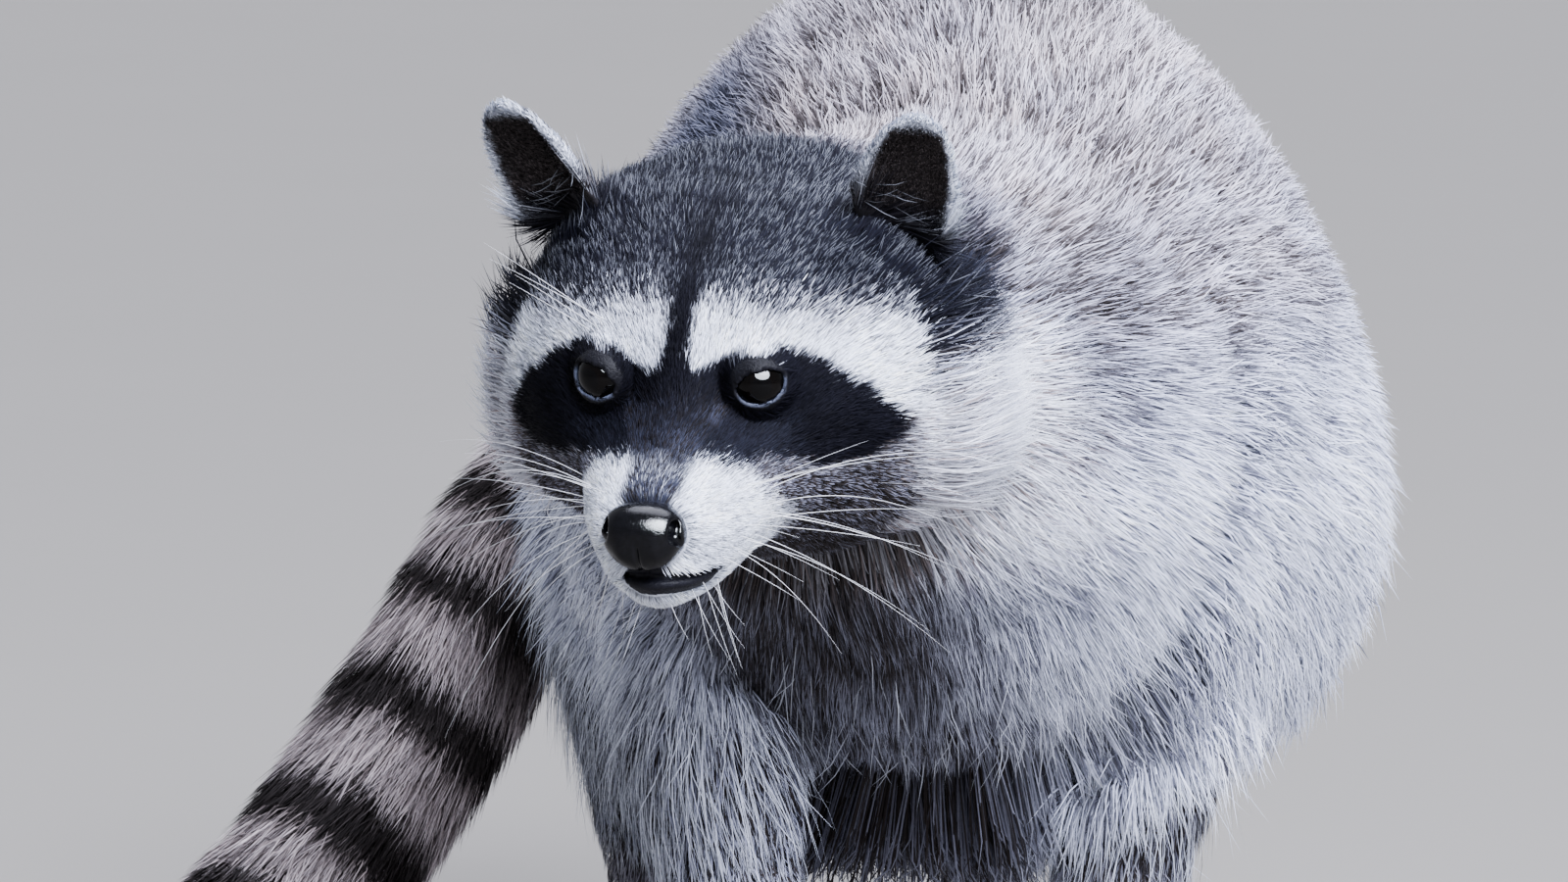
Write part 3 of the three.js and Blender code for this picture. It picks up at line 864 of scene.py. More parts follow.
def mark_cheeks(paint, face):
    """Brown cheeks below the mask, the throat and the white muzzle."""
    x, y, z, fade, snout = face.x, face.y, face.z, face.fade, face.snout
    cheek = smoothstep(snout - 1.5, snout + 1.5, x + 0.4 * fade) * smoothstep(62, 50, x + fade)
    cheek = face.near * np.clip(cheek + smoothstep(-44, -34, y), 0, 1)
    cheek = cheek * smoothstep(face.mask_foot + 6, face.mask_foot - 3, z)
    paint("cheek", cheek * smoothstep(68, 56, x + fade) * smoothstep(12, -2, y + fade))
    throat = face.near * smoothstep(-30, -42, z + 0.5 * fade) * smoothstep(-50, -36, y)
    paint("throat", throat * smoothstep(57, 42, x + fade) * smoothstep(80, 40, y))
    muzzle = face.head * smoothstep(snout + 1.5, snout - 1.5, x + 0.3 * fade)
    paint("white", muzzle * smoothstep(-26, -36, y + 0.5 * fade) * smoothstep(3.5, -1.5, z))


def mark_mask(paint, face):
    """The black mask, the stripe up the forehead and the grey bridge of the nose."""
    x, y, z, fade, head = face.x, face.y, face.z, face.fade, face.head
    brow_foot, mask_foot = np.interp(x, *BROW_FOOT), face.mask_foot
    mask = smoothstep(brow_foot + 1, brow_foot - 1, z)
    mask = mask * smoothstep(mask_foot - 1.8, mask_foot + 1.8, z + 0.4 * fade)
    mask = mask * smoothstep(64.5, 59.5, x + 0.3 * fade)
    paint("black", head * mask * smoothstep(12, -2, y))
    # A painted bluish sheen on the black hair low on the mask, below the eyes.
    paint("slate", head * mask * smoothstep(10, 4, z) * smoothstep(40, 28, x) * 0.75)
    stripe, top = np.interp(z, *STRIPE), smoothstep(34, 50, z)
    edge = smoothstep(stripe + 1.2 + 3 * top, stripe - 1 - 3 * top, x + fade * mix(0.3, 1.2, top))
    paint("black", head * edge * smoothstep(74, 44, z + fade) * smoothstep(10, 16, z) * (y < 26))
    bridge = np.interp(y, *BRIDGE)
    lit = smoothstep(17, 8, z + fade) * mix(0.28, 1.0, smoothstep(9, -3, z + 1.5 * fade))
    bridge = head * smoothstep(bridge + 1.6, bridge - 1.6, x) * lit
    paint("bridge", bridge * smoothstep(-18, -13, z) * (y < -38))
    tear = np.exp(-(((x - 13.4) / 2.0) ** 2) - (((z - 9.5) / 2.2) ** 2)) * (y < -20)
    paint("bridge", 0.8 * head * tear)


def mark_ears(paint, face, q, share):
    """The dark patch behind the ear, the dark ear and its white rim."""
    x, y, z = face.x, face.y, face.z
    behind = np.sqrt(((x - 66) / 15) ** 2 + ((y - 44) / 28) ** 2 + ((z - 29) / 14) ** 2)
    paint("dark", smoothstep(1.35, 0.7, behind + 0.07 * face.fade))
    for _, _, root in whisker_places():
        pore = np.exp(-(((x - root[0]) / 0.8) ** 2) - (((z - root[2]) / 0.6) ** 2))
        paint("cheek", 0.8 * face.head * pore * (y < root[1] + 6))
    rise, across = ear_place(q)
    ears = np.clip(share["ears"] * 2.2, 0, 1) * smoothstep(-0.1, 0.15, rise)
    paint("ear", ears)
    paint("dark", ears * smoothstep(0.35, 0.1, rise))
    rim = np.maximum(smoothstep(0.72, 0.84, np.abs(across)), smoothstep(0.83, 0.91, rise))
    rim = rim * smoothstep(0.05, 0.25, rise) * np.where(across > 0, smoothstep(0.3, 0.6, rise), 1)
    paint("white", ears * rim)


def markings(points, normals, shares, seed, ragged=1.0):
    """Each zone's weight at points of the skin, from their region and their place on the body."""
    layers = Layers(len(points))
    share = dict(zip(REGION_NAMES, shares.T))
    rng = np.random.default_rng(seed)
    q = to_head(points)
    shake = np.stack([wander(points, 5 * MM, seed + k) for k in range(3)], 1) * 1.1 * ragged
    q = q + shake + rng.normal(0, 0.55 * ragged, q.shape)
    patch = wander(points, 26 * MM, seed + 5) * 0.5 + wander(points, 11 * MM, seed + 6) * 0.5
    run = along_tail(points)[0] + 3 * wander(points, 14 * MM, seed + 9) * ragged
    run = run + rng.normal(0, 1.5 * ragged, len(points))
    face = Face(q, share, rng.normal(0, 2.6 * ragged, len(points)))
    mark_trunk(layers.paint, points, normals, share, patch)
    mark_legs(layers.paint, points, share)
    mark_tail(layers.paint, normals, share, run)
    mark_crown(layers.paint, face, patch)
    mark_cheeks(layers.paint, face)
    mark_mask(layers.paint, face)
    mark_ears(layers.paint, face, q, share)
    return layers.weight


def ear_place(q):
    """How far up the nearer ear points are, and how far across it towards the crown, from -1 to 1."""
    away = to_left(q) - EAR_ROOT
    rise = away @ EAR_AXIS / EAR_LENGTH
    outline = np.sqrt(np.maximum(0.03, 1 - np.maximum(rise, 0) ** 2.6))
    return rise, away @ EAR_ASIDE / EAR_HALF_WIDTH / outline


def zone_colours(weight, light):
    """Root, middle and tip colours of locks, each of them light or dark."""
    out = np.zeros((len(light), 3, 3))
    for name, (colours, _) in zones().items():
        kind = np.where(light[:, None, None], colours[0], colours[1])
        out += weight[name][:, None, None] * kind
    return out


def light_share(weight):
    """The share of light locks where zones meet."""
    return sum(weight[name] * share for name, (_, share) in zones().items())


# ---- Locks ----
def unwrap(p, region):
    """A place on the flattened skin for each point: round the part and along it, each from 0 to 1."""
    if region == "tail":
        run, _, middle = along_tail(p)
        away = p - middle
        return np.stack([np.arctan2(away[:, 2], away[:, 0]) / (2 * np.pi) + 0.5, run / 360], 1)
    if region == "head":
        q = to_head(p)
        turn = np.arctan2(q[:, 2] + 6, q[:, 0]) / (2 * np.pi) + 0.5
        return np.stack([turn, (q[:, 1] + 95) / 190], 1)
    if region == "legs":
        # The four legs side by side, each round its own middle.
        fore, left = p[:, 1] < 0.02, p[:, 0] > 0.05 - 0.09 * (p[:, 1] > 0.02)
        front = np.where(left[:, None], (0.116, -0.075), (-0.004, -0.09))
        back = np.where(left[:, None], (0.12, 0.135), (-0.028, 0.118))
        away = p[:, :2] - np.where(fore[:, None], front, back)
        turn = np.arctan2(away[:, 1], away[:, 0]) / (2 * np.pi) + 0.5
        return np.stack([(turn * 0.96 + 0.02 + 2 * fore + left) / 4, p[:, 2] / 0.26], 1)
    middle = np.interp(p[:, 1], [-0.12, 0, 0.13, 0.24], [0.03, 0.065, 0.04, -0.012])
    turn = np.arctan2(p[:, 2] - 0.225, p[:, 0] - middle)
    return np.stack([turn / (2 * np.pi) + 0.5, (p[:, 1] + 0.2) / 0.46], 1)


def grow_roots(regions, count, seed, thin=None):
    """Roots spread over the skin of some regions, as many to each area, or fewer where thin says so."""
    rng = np.random.default_rng(seed)
    chosen = np.isin(made["region"], [REGION_NAMES.index(r) for r in regions])
    area = made["area"] * chosen
    if thin is not None:
        area = area * thin(made["points"][made["triangles"]].mean(1))
    total = np.cumsum(area)
    even = (np.arange(count) + rng.random(count)) / count
    pick = np.searchsorted(total, even * total[-1] * 0.999999)
    a, b = np.sqrt(rng.random(count)), rng.random(count)
    share = np.stack([1 - a, a * (1 - b), a * b], 1)
    corner = made["triangles"][pick]

    def at(values):
        return (values[corner] * share[:, :, None]).sum(1)

    return {
        "at": at(made["points"]),
        "normal": unit(at(made["normals"])),
        "lie": unit(at(made["lie"])),
        "share": at(made["share"]),
        "rng": rng,
        "seed": seed,
    }


def keep(roots, chosen):
    """Only the chosen roots."""
    for key in ("at", "normal", "lie", "share"):
        roots[key] = roots[key][chosen]
    return roots


def bare(points):
    """True on the eyes, lids' edges, lips and nose pad, where no hair grows."""
    q = to_head(points)
    x, y, z = to_left(q).T
    p = in_eye(q)
    eye = (lid_opening(p) < 0.6) & (p[:, 2] > 0)
    off = z - mouth_line(x)
    slit = (np.abs(off) < 1.0) & (x < 25) & (y < -46)
    # The lips end nearer the middle on the right side.
    end = np.where(q[:, 0] > 0, 19.0, 10.0)
    upper = off < 3.4 * smoothstep(end - 2, end - 5, x)
    lower = off > -5.6 * smoothstep(end, end - 8, x)
    pad = ((q - NOSE_PAD) / PAD_SIZE) ** 2
    return eye | slit | (upper & lower & (y < -60)) | (pad.sum(1) < 1)


class Locks:
    """Thin curved locks of hair, one at every root, lying along the skin.

    Its steps draw random numbers in turn, so they are called in the order that build_coat gives.
    """

    def __init__(self, roots, length, rise, spread, curl, lift):
        self.rng, self.seed, self.share = roots["rng"], roots["seed"], roots["share"]
        self.root, self.normal = roots["at"], roots["normal"]
        self.count = n = len(self.root)
        rng, normal = self.rng, self.normal
        self.noise = np.stack([wander(self.root, 22 * MM, self.seed + 20 + k) for k in range(3)], 1)
        lie = roots["lie"] + 0.28 * self.noise + rng.normal(0, spread, (n, 3))
        self.lie = unit(lie - normal * dot(lie, normal))
        self.aside = np.cross(normal, self.lie)
        long = (np.broadcast_to(length, n) * rng.uniform(0.72, 1.18, n))[:, None] * MM
        depth = made["depth"].at(self.root)[:, None] * MM
        high = np.maximum(depth * np.broadcast_to(rise, n)[:, None], lift * MM)
        self.high = np.minimum(high * rng.uniform(0.7, 1.15, n)[:, None], 0.8 * long)
        self.reach = np.sqrt(np.maximum(long**2 - self.high**2, (0.3 * long) ** 2))
        self.bend = rng.normal(0, 0.06 + curl, n)[:, None] * long
        self.tip = self.root + self.lie * self.reach + normal * self.high + self.aside * self.bend

    def hold(self, beyond):
        """Holds the tips to the outline of the frame, but for the few that stray beyond it."""
        stray = np.broadcast_to(beyond, self.count) * MM * self.rng.random(self.count) ** 2
        over = made["outline"].at(self.tip) - stray
        outward = made["outline"].slope(self.tip, 4 * MM)
        self.tip = self.tip - outward * np.maximum(over, 0)[:, None]

    def draw_kinds(self):
        """Draws which locks are light and how bright each of them is."""
        self.luck, self.shade = self.rng.random(self.count), self.rng.uniform(0.72, 1.2, self.count)

    def gather(self, clump, clump_size, alike):
        """Pulls the tips of each clump together; its locks are mostly of one kind and shade."""
        rng, n = self.rng, self.count
        cell = np.floor(self.root / (clump_size * MM) + 0.35 * self.noise).astype(int)
        _, group = np.unique(cell, axis=0, return_inverse=True)
        group = group.ravel()
        groups = group.max() + 1
        self.luck = np.where(rng.random(n) < alike, rng.random(groups)[group], self.luck)
        self.shade = self.shade * (1 + alike * rng.uniform(-0.3, 0.25, groups)[group])
        size = np.bincount(group)
        middle = np.stack([np.bincount(group, self.tip[:, k]) / size for k in range(3)], 1)[group]
        pull = (clump * rng.uniform(0.3, 1.2, n))[:, None]
        self.tip = self.tip + (middle - self.tip) * np.clip(pull, 0, 0.9)

    def strips(self, width, steps):
        """Points along both edges of a flat tapering strip for each lock, and their shading normals."""
        rng, n, normal, aside = self.rng, self.count, self.normal, self.aside
        roll = rng.normal(0, 0.45, n)[:, None]
        wide = np.broadcast_to(width, n)[:, None] * MM * rng.uniform(0.75, 1.25, n)[:, None]
        body = np.interp(steps, [0, 0.45, 0.75, 1], [0.7, 1.0, 0.7, 0.0])
        chord = self.tip - self.root
        bulge = normal * self.high * 0.42
        across = aside * np.cos(roll) + normal * np.sin(roll)
        face = unit(normal * np.cos(roll) - aside * np.sin(roll))
        shine = 0.65 * normal + 0.35 * face
        points, shading = [], []
        for t, full in zip(steps, body):
            middle = self.root - normal * 0.4 * MM * (1 - t) + chord * t
            middle = middle + bulge * 4 * t * (1 - t) * 0.6 - aside * self.bend * t * (1 - t)
            if t < 1:
                points += [middle - across * wide * full / 2, middle + across * wide * full / 2]
                shading += [unit(shine - 0.55 * across), unit(shine + 0.55 * across)]
            else:
                points.append(middle)
                shading.append(unit(shine))
        points = np.stack(points, 1)
        points[..., 2] = np.maximum(points[..., 2], 0.3 * MM)
        return points, np.stack(shading, 1).reshape(-1, 3)

    def colours(self, steps, tint):
        """The colour of each point of the strips: root, middle and tip of the zone it lies in."""
        over = self.root + self.lie * self.reach * 0.75 + self.normal * self.high * 0.9
        weight = markings(over, self.normal, self.share, self.seed + 40)
        colours = zone_colours(weight, self.luck < light_share(weight))
        small = wander(self.root, 7 * MM, self.seed + 60)
        large = wander(self.root, 30 * MM, self.seed + 61)
        patches = 1 + 0.28 * small + 0.10 * large
        colours = colours * (self.shade * patches)[:, None, None]
        if tint is not None:
            colours = tint(colours)
        along = np.append(np.repeat(steps[:-1], 2), 1.0)[None, :, None]
        low, high = np.clip(along / 0.6, 0, 1), np.clip((along - 0.6) / 0.4, 0, 1)
        shade = mix(mix(colours[:, None, 0], colours[:, None, 1], low), colours[:, None, 2], high)
        return shade.reshape(-1, 3)

    def patches(self, region, steps):
        """Places on the bake map: each lock is one small patch of the flattened skin.

        Locks that share a place share the patch.
        """
        cell = 0.003
        place = np.floor(np.clip(unwrap(self.root, region), 0.002, 0.995) / cell) * cell
        patch = [(side, 0.08 + 0.84 * t) for t in steps[:-1] for side in (0.1, 0.9)] + [(0.5, 0.92)]
        return (place[:, None] + np.array(patch)[None] * cell).reshape(-1, 2)


def strip_faces(count, joints):
    """Faces of that many strips: quads to the last joint and a triangle at the tip."""
    first = np.arange(count)[:, None] * (2 * joints + 1)
    faces = [first + np.array([2 * k + 1, 2 * k, 2 * k + 2, 2 * k + 3]) for k in range(joints - 1)]
    faces.append(first + np.array([2 * joints - 1, 2 * joints - 2, 2 * joints, 2 * joints]))
    return np.stack(faces, 1).reshape(-1, 4)


def build_coat(
    name, roots, region, length, width, rise, slot,
    joints=2, clump=0.0, clump_size=7.0, curl=0.0, tint=None,
    beyond=0.0, spread=0.12, lift=0.0, alike=0.0,
):
    """One piece of the coat, with a lock at every root.

    length, width and beyond, in mm, are one value each or one for each root. rise is how much of
    the coat's depth a tip stands off, and lift the least height in mm. clump, from 0 to 1, pulls
    the tips of a clump of clump_size mm together, and alike is how often its locks share a kind.
    """
    locks = Locks(roots, length, rise, spread, curl, lift)
    locks.hold(beyond)
    locks.draw_kinds()
    if np.any(clump):
        locks.gather(clump, clump_size, alike)
    steps = np.array([0, 0.6, 1]) if joints == 2 else np.linspace(0, 1, joints + 1)
    points, shading = locks.strips(width, steps)
    mesh = bpy.data.meshes.new(name)
    fill_mesh(mesh, points.reshape(-1, 3), strip_faces(locks.count, joints))
    paint_mesh(mesh, locks.colours(steps, tint))
    mesh.normals_split_custom_set_from_vertices(shading.astype(np.float32))
    corner_of = np.zeros(len(mesh.loops), np.int32)
    mesh.loops.foreach_get("vertex_index", corner_of)
    places = locks.patches(region, steps)[corner_of].astype(np.float32)
    mesh.uv_layers.new(name="OFBake").uv.foreach_set("vector", places.ravel())
    return place_piece(name, mesh, coat_material())


def paint_mesh(mesh, colours):
    """Gives each point of a mesh its colour."""
    layer = mesh.color_attributes.new("Coat", "FLOAT_COLOR", "POINT")
    rgba = np.ones((len(colours), 4), np.float32)
    rgba[:, :3] = np.clip(colours, 0, 1)
    layer.data.foreach_set("color", rgba.ravel())


def place_piece(name, mesh, material, nodes=()):
    """Puts a piece into the scene on the frame's body, in place of some of its nodes."""
    piece = bpy.data.objects.new(name, mesh)
    bpy.context.scene.collection.objects.link(piece)
    mesh.materials.append(material)
    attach(piece, "root")
    if nodes:
        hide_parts(*nodes)
    return piece


def moist_pieces():
    """The collection of the eyes and the nose, which the eye light shines on."""
    return bpy.data.collections.get("moist pieces") or bpy.data.collections.new("moist pieces")


# ---- Materials ----
def node_material(name, build):
    """A node material, made once: build gets its node tree and its main shader."""
    material = bpy.data.materials.get(name)
    if material is None:
        material = bpy.data.materials.new(name)
        material.use_nodes = True
        build(material.node_tree, material.node_tree.nodes["Principled BSDF"])
    return material


def add_node(tree, kind, inputs=None, **settings):
    """A node with its settings; each input is a value or the socket that feeds it."""
    node = tree.nodes.new(kind)
    for key, value in settings.items():
        setattr(node, key, value)
    for key, value in (inputs or {}).items():
        if isinstance(value, bpy.types.NodeSocket):
            tree.links.new(value, node.inputs[key])
        else:
            node.inputs[key].default_value = value
    return node


def object_place(tree, scale=(1, 1, 1)):
    """Places in the object's own frame, stretched by scale."""
    place = add_node(tree, "ShaderNodeTexCoord").outputs["Object"]
    return add_node(tree, "ShaderNodeMapping", {"Vector": place, "Scale": scale}).outputs["Vector"]


def plain_colour(tree, colour):
    """One colour all over."""
    node = add_node(tree, "ShaderNodeRGB")
    node.outputs[0].default_value = (*colour, 1)
    return node.outputs[0]


def speckled(tree, colour, place, size, low, high):
    """The colour, darker and lighter over grains of that size."""
    inputs = {"Vector": place, "Scale": 1 / size, "Detail": 3.0, "Roughness": 0.6}
    grain = add_node(tree, "ShaderNodeTexNoise", inputs).outputs["Fac"]
    inputs = {"Value": grain, "From Min": 0.3, "From Max": 0.7, "To Min": low, "To Max": high}
    span = add_node(tree, "ShaderNodeMapRange", inputs).outputs["Result"]
    return add_node(tree, "ShaderNodeVectorMath", {0: colour, 1: span}, operation="MULTIPLY").outputs[0]


def bump(tree, height, depth, shader, before=None):
    """Raises the surface by a height from 0 to 1 over that depth, on top of the bumps before."""
    inputs = {"Height": height, "Distance": depth, "Strength": 1.0}
    if before is not None:
        inputs["Normal"] = before
    node = add_node(tree, "ShaderNodeBump", inputs)
    tree.links.new(node.outputs["Normal"], shader.inputs["Normal"])
    return node.outputs["Normal"]


def finish_surface(shader, roughness, specular=None):
    """Sets how rough the surface is and how strongly it shines."""
    shader.inputs["Roughness"].default_value = roughness
    if specular is not None:
        shader.inputs["Specular IOR Level"].default_value = specular


def coat_material():
    """Dull hair in the locks' own colours."""

    def build(tree, shader):
        colour = add_node(tree, "ShaderNodeAttribute", attribute_name="Coat").outputs["Color"]
        place = object_place(tree)
        colour = speckled(tree, colour, place, 1.2 * MM, 0.82, 1.16)
        colour = speckled(tree, colour, place, 16 * MM, 0.92, 1.08)
        tree.links.new(colour, shader.inputs["Base Color"])
        finish_surface(shader, 0.6, 0.03)

    return node_material("coat hair", build)


def skin_material():
    """Skin and woolly hair in the same markings."""

    def build(tree, shader):
        colour = add_node(tree, "ShaderNodeAttribute", attribute_name="Coat").outputs["Color"]
        place = object_place(tree)
        colour = speckled(tree, colour, place, 0.9 * MM, 0.7, 1.2)
        colour = speckled(tree, colour, place, 9 * MM, 0.85, 1.1)
        tree.links.new(colour, shader.inputs["Base Color"])
        finish_surface(shader, 0.5, 0.12)
        grain = add_node(tree, "ShaderNodeTexNoise", {"Vector": place, "Scale": 1400.0, "Detail": 3.0})
        bump(tree, grain.outputs["Fac"], 0.25 * MM, shader)

    return node_material("skin under the coat", build)


def nose_material():
    """Moist black leather with fine pebbles."""

    def build(tree, shader):
        place = object_place(tree)
        base = plain_colour(tree, bpy.context.scene.raccoon_colours.nose)
        colour = speckled(tree, base, place, 1.5 * MM, 0.6, 1.5)
        tree.links.new(colour, shader.inputs["Base Color"])
        inputs = {"Vector": place, "Scale": 1300.0}
        pebbles = add_node(tree, "ShaderNodeTexVoronoi", inputs, feature="DISTANCE_TO_EDGE")
        inputs = {"Value": pebbles.outputs["Distance"], "From Max": 0.16}
        rim = add_node(tree, "ShaderNodeMapRange", inputs)
        fine = add_node(tree, "ShaderNodeTexNoise", {"Vector": place, "Scale": 700.0, "Detail": 4.0})
        first = bump(tree, rim.outputs["Result"], 0.015 * MM, shader)
        bump(tree, fine.outputs["Fac"], 0.03 * MM, shader, first)
        finish_surface(shader, 0.13, 0.15)

    return node_material("moist nose leather", build)


def eye_material():
    """Glossy eye, black in the pupil and almost black round it; Gaze grows from the pupil back."""

    def build(tree, shader):
        iris = tuple(bpy.context.scene.raccoon_colours.iris)
        gaze = add_node(tree, "ShaderNodeAttribute", attribute_name="Gaze").outputs["Fac"]
        ramp = add_node(tree, "ShaderNodeValToRGB", {"Fac": gaze})
        stops = ramp.color_ramp.elements
        stops[0].position, stops[0].color = 0.0, (0.0006, 0.0006, 0.0008, 1)
        stops[1].position, stops[1].color = 1.0, (0.002, 0.0018, 0.0018, 1)
        for at, colour in (
            (0.21, (0.001, 0.0009, 0.001)),
            (0.25, iris),
            (0.44, tuple(v * 0.6 for v in iris)),
            (0.52, (0.001, 0.001, 0.001)),
        ):
            stops.new(at).color = (*colour, 1)
        colour = speckled(tree, ramp.outputs["Color"], object_place(tree), 0.6 * MM, 0.6, 1.4)
        tree.links.new(colour, shader.inputs["Base Color"])
        finish_surface(shader, 0.04, 0.1)

    return node_material("eye", build)


def claw_material():
    """Dark horn with streaks along the claw."""

    def build(tree, shader):
        base = plain_colour(tree, bpy.context.scene.raccoon_colours.claw)
        place = object_place(tree, (1, 0.25, 1))
        colour = speckled(tree, base, place, 0.8 * MM, 0.5, 1.9)
        tree.links.new(colour, shader.inputs["Base Color"])
        grain = add_node(tree, "ShaderNodeTexNoise", {"Vector": place, "Scale": 1500.0})
        bump(tree, grain.outputs["Fac"], 0.08 * MM, shader)
        finish_surface(shader, 0.38)

    return node_material("claw horn", build)


def whisker_material():
    """Stiff pale hair."""

    def build(tree, shader):
        base = plain_colour(tree, bpy.context.scene.raccoon_colours.whisker)
        colour = speckled(tree, base, object_place(tree), 4 * MM, 0.85, 1.1)
        tree.links.new(colour, shader.inputs["Base Color"])
        finish_surface(shader, 0.35)

    return node_material("whisker", build)


def floor_material():
    """A plain matt floor."""

    def build(tree, shader):
        base = plain_colour(tree, bpy.context.scene.raccoon_stage.floor)
        colour = speckled(tree, base, object_place(tree), 0.25, 0.99, 1.01)
        tree.links.new(colour, shader.inputs["Base Color"])
        finish_surface(shader, 0.85)

    return node_material("studio floor", build)


# ---- Sizes and colours to change ----
def length(name, description, default):
    """A length to change; its default is in mm."""
    return FloatProperty(
        name=name, description=description, default=default * MM, min=0.0, unit="LENGTH", precision=4
    )


def colour(name, description, default):
    """A colour to change."""
    return FloatVectorProperty(
        name=name, description=description, default=default, size=3, min=0.0, max=1.0, subtype="COLOR"
    )


def angle(name, description, degrees):
    """An angle to change."""
    return FloatProperty(
        name=name, description=description, default=math.radians(degrees), subtype="ANGLE"
    )


class RaccoonHead(bpy.types.PropertyGroup):
    """Places of the eyes, lids and mouth, which agree with the frame's own head."""

    eye_radius: length("Eye radius", "Radius of the eyeball", 8.7)
    eye_out: length("Eye to the side", "From the middle of the head out to the eye", 22.4)
    eye_forward: length("Eye forward", "From the middle of the skull forward to the eye", 36)
    eye_up: length("Eye up", "From the middle of the skull up to the eye", 16.5)
    lid_width: length("Lid opening width", "From one corner of the eye to the other", 13.4)
    lid_height: length("Lid opening height", "From the upper lid to the lower one", 10.6)
    mouth_level: FloatProperty(
        name="Mouth level",
        description="Height of the mouth line in the head's own frame",
        default=-28.6 * MM,
        unit="LENGTH",
        precision=4,
    )
    whisker_length: length("Whisker length", "Length of the longest whiskers", 84)


class RaccoonCoat(bpy.types.PropertyGroup):
    """How many locks the coat has and how long they are."""

    amount: FloatProperty(
        name="Amount",
        description="Share of the coat's locks that are made",
        default=1.0,
        min=0.05,
        max=1.0,
        subtype="FACTOR",
    )
    muzzle: length("Muzzle", "Length of the hair on the muzzle", 4.2)
    face: length("Face", "Length of the hair round the eyes and on the forehead", 7.5)
    crown: length("Crown", "Length of the hair on the crown; the cheeks' is over twice as long", 14)
    ear: length("Ears", "Length of the hair on the ears", 4.5)
    neck: length("Neck", "Length of the hair on the neck", 32)
    trunk: length("Trunk", "Length of the hair on the back and flanks", 36)
    tail: length("Tail", "Length of the hair on the tail", 40)
    leg: length("Legs", "Length of the hair on the upper legs", 24)
    foot: length("Feet", "Length of the hair on the feet", 5.5)


class RaccoonColours(bpy.types.PropertyGroup):
    """Colours of the coat's zones, the nose, the eyes, the claws and the whiskers."""

    black: colour("Black", "The mask and the stripe up the forehead", (0.0042, 0.0042, 0.0066))
    white: colour("White", "The brows, the muzzle and the ears' rims", (0.82, 0.87, 1.0))
    silver: colour("Silver", "Middle of the hairs on the trunk", (0.44, 0.465, 0.64))
    beige: colour("Beige", "Warm hairs of the back and the tail's light bands", (0.46, 0.385, 0.385))
    brown: colour("Brown", "Woolly hair near the skin and the tail's rings", (0.034, 0.029, 0.029))
    blue_grey: colour("Blue grey", "The crown and the bridge of the nose", (0.040, 0.044, 0.070))
    nose: colour("Nose", "Leather of the nose", (0.0014, 0.0014, 0.0020))
    iris: colour("Iris", "Ring round the pupil", (0.0012, 0.0008, 0.0007))
    claw: colour("Claw", "Horn of the claws", (0.035, 0.028, 0.024))
    whisker: colour("Whisker", "Whiskers and bristles", (0.92, 0.93, 0.96))


class RaccoonStage(bpy.types.PropertyGroup):
    """The floor, the lights and the camera."""

    floor: colour("Floor", "Colour of the floor", (0.152, 0.144, 0.130))
    light: FloatProperty(name="Light", description="Strength of all the lamps", default=1.0, min=0.0)
    distance: FloatProperty(
        name="Camera distance",
        description="From the camera to the head",
        default=2.6,
        min=0.3,
        unit="LENGTH",
    )
    elevation: angle("Camera elevation", "Angle at which the camera looks down", 7)
    view_angle: angle("Camera view angle", "Width of the view", 9.9)


# ---- The pieces and the stage, with their operators ----
def paint_skin(mesh):
    """The coat's markings in the colours near the roots; the lower lids get a painted reflection."""
    points, share = made["points"], made["share"]
    weight = markings(points, made["normals"], share, 7, 0.5)
    colours = zone_colours(weight, np.ones(len(points), bool))
    root, middle = colours[:, 0], colours[:, 1]
    # Where the hair is short, more of the skin's own colour shows.
    short = [share[:, REGION_NAMES.index(r)] for r in ("muzzle", "jaw", "feet", "ears")]
    under = mix(mix(root, middle, 0.25) * 0.7, middle, 0.6 * sum(short)[:, None])
    black = np.array(bpy.context.scene.raccoon_colours.black)
    under = mix(under, black * 1.2, bare(points)[:, None])
    p = in_eye(to_head(points))
    # A pale bluish line along the lower lids' edges: a painted reflection on their moist rims.
    edge = np.exp(-(((lid_opening(p) - 0.1) / 0.32) ** 2))
    edge = edge * smoothstep(0.5, -3, p[:, 1] - 0.4 * p[:, 0]) * (p[:, 2] > 2)
    paint_mesh(mesh, mix(under, LID_REFLECTION, 0.8 * edge[:, None]))


class RACCOON_OT_skin(bpy.types.Operator):
    """Make the skin in one mesh, inside the frame's outline by the depth of the coat"""

    bl_idname = "raccoon.skin"
    bl_label = "Skin"

    def execute(self, context):
        build_fields()
        mesh = build_skin_mesh()
        if len(mesh.polygons) < 20000:
            raise RuntimeError("the skin's field gave too little surface")
        place_piece("skin", mesh, skin_material(), FLESH)
        read_skin()
        paint_skin(mesh)
        return {"FINISHED"}


def ball(turns, rows, radius):
    """Points and faces of an eyeball that looks along +Z, and each row's angle from its front."""
    angle = np.linspace(0, np.pi, rows + 1)
    turn = np.arange(turns) / turns * 2 * np.pi
    # The clear front stands out a little.
    swell = 1 + 0.035 * np.exp(-((angle / 0.62) ** 4))
    flat, up = np.sin(angle)[:, None], np.repeat(np.cos(angle)[:, None], turns, 1)
    points = np.stack([flat * np.cos(turn), flat * np.sin(turn), up], -1)
    points = (points * swell[:, None, None] * radius * 0.985).reshape(-1, 3)
    i = np.arange(rows)[:, None] * turns
    j = np.arange(turns)[None]
    k = (j + 1) % turns
    faces = np.stack([i + j, i + turns + j, i + turns + k, i + k], -1).reshape(-1, 4)
    return points, faces, angle


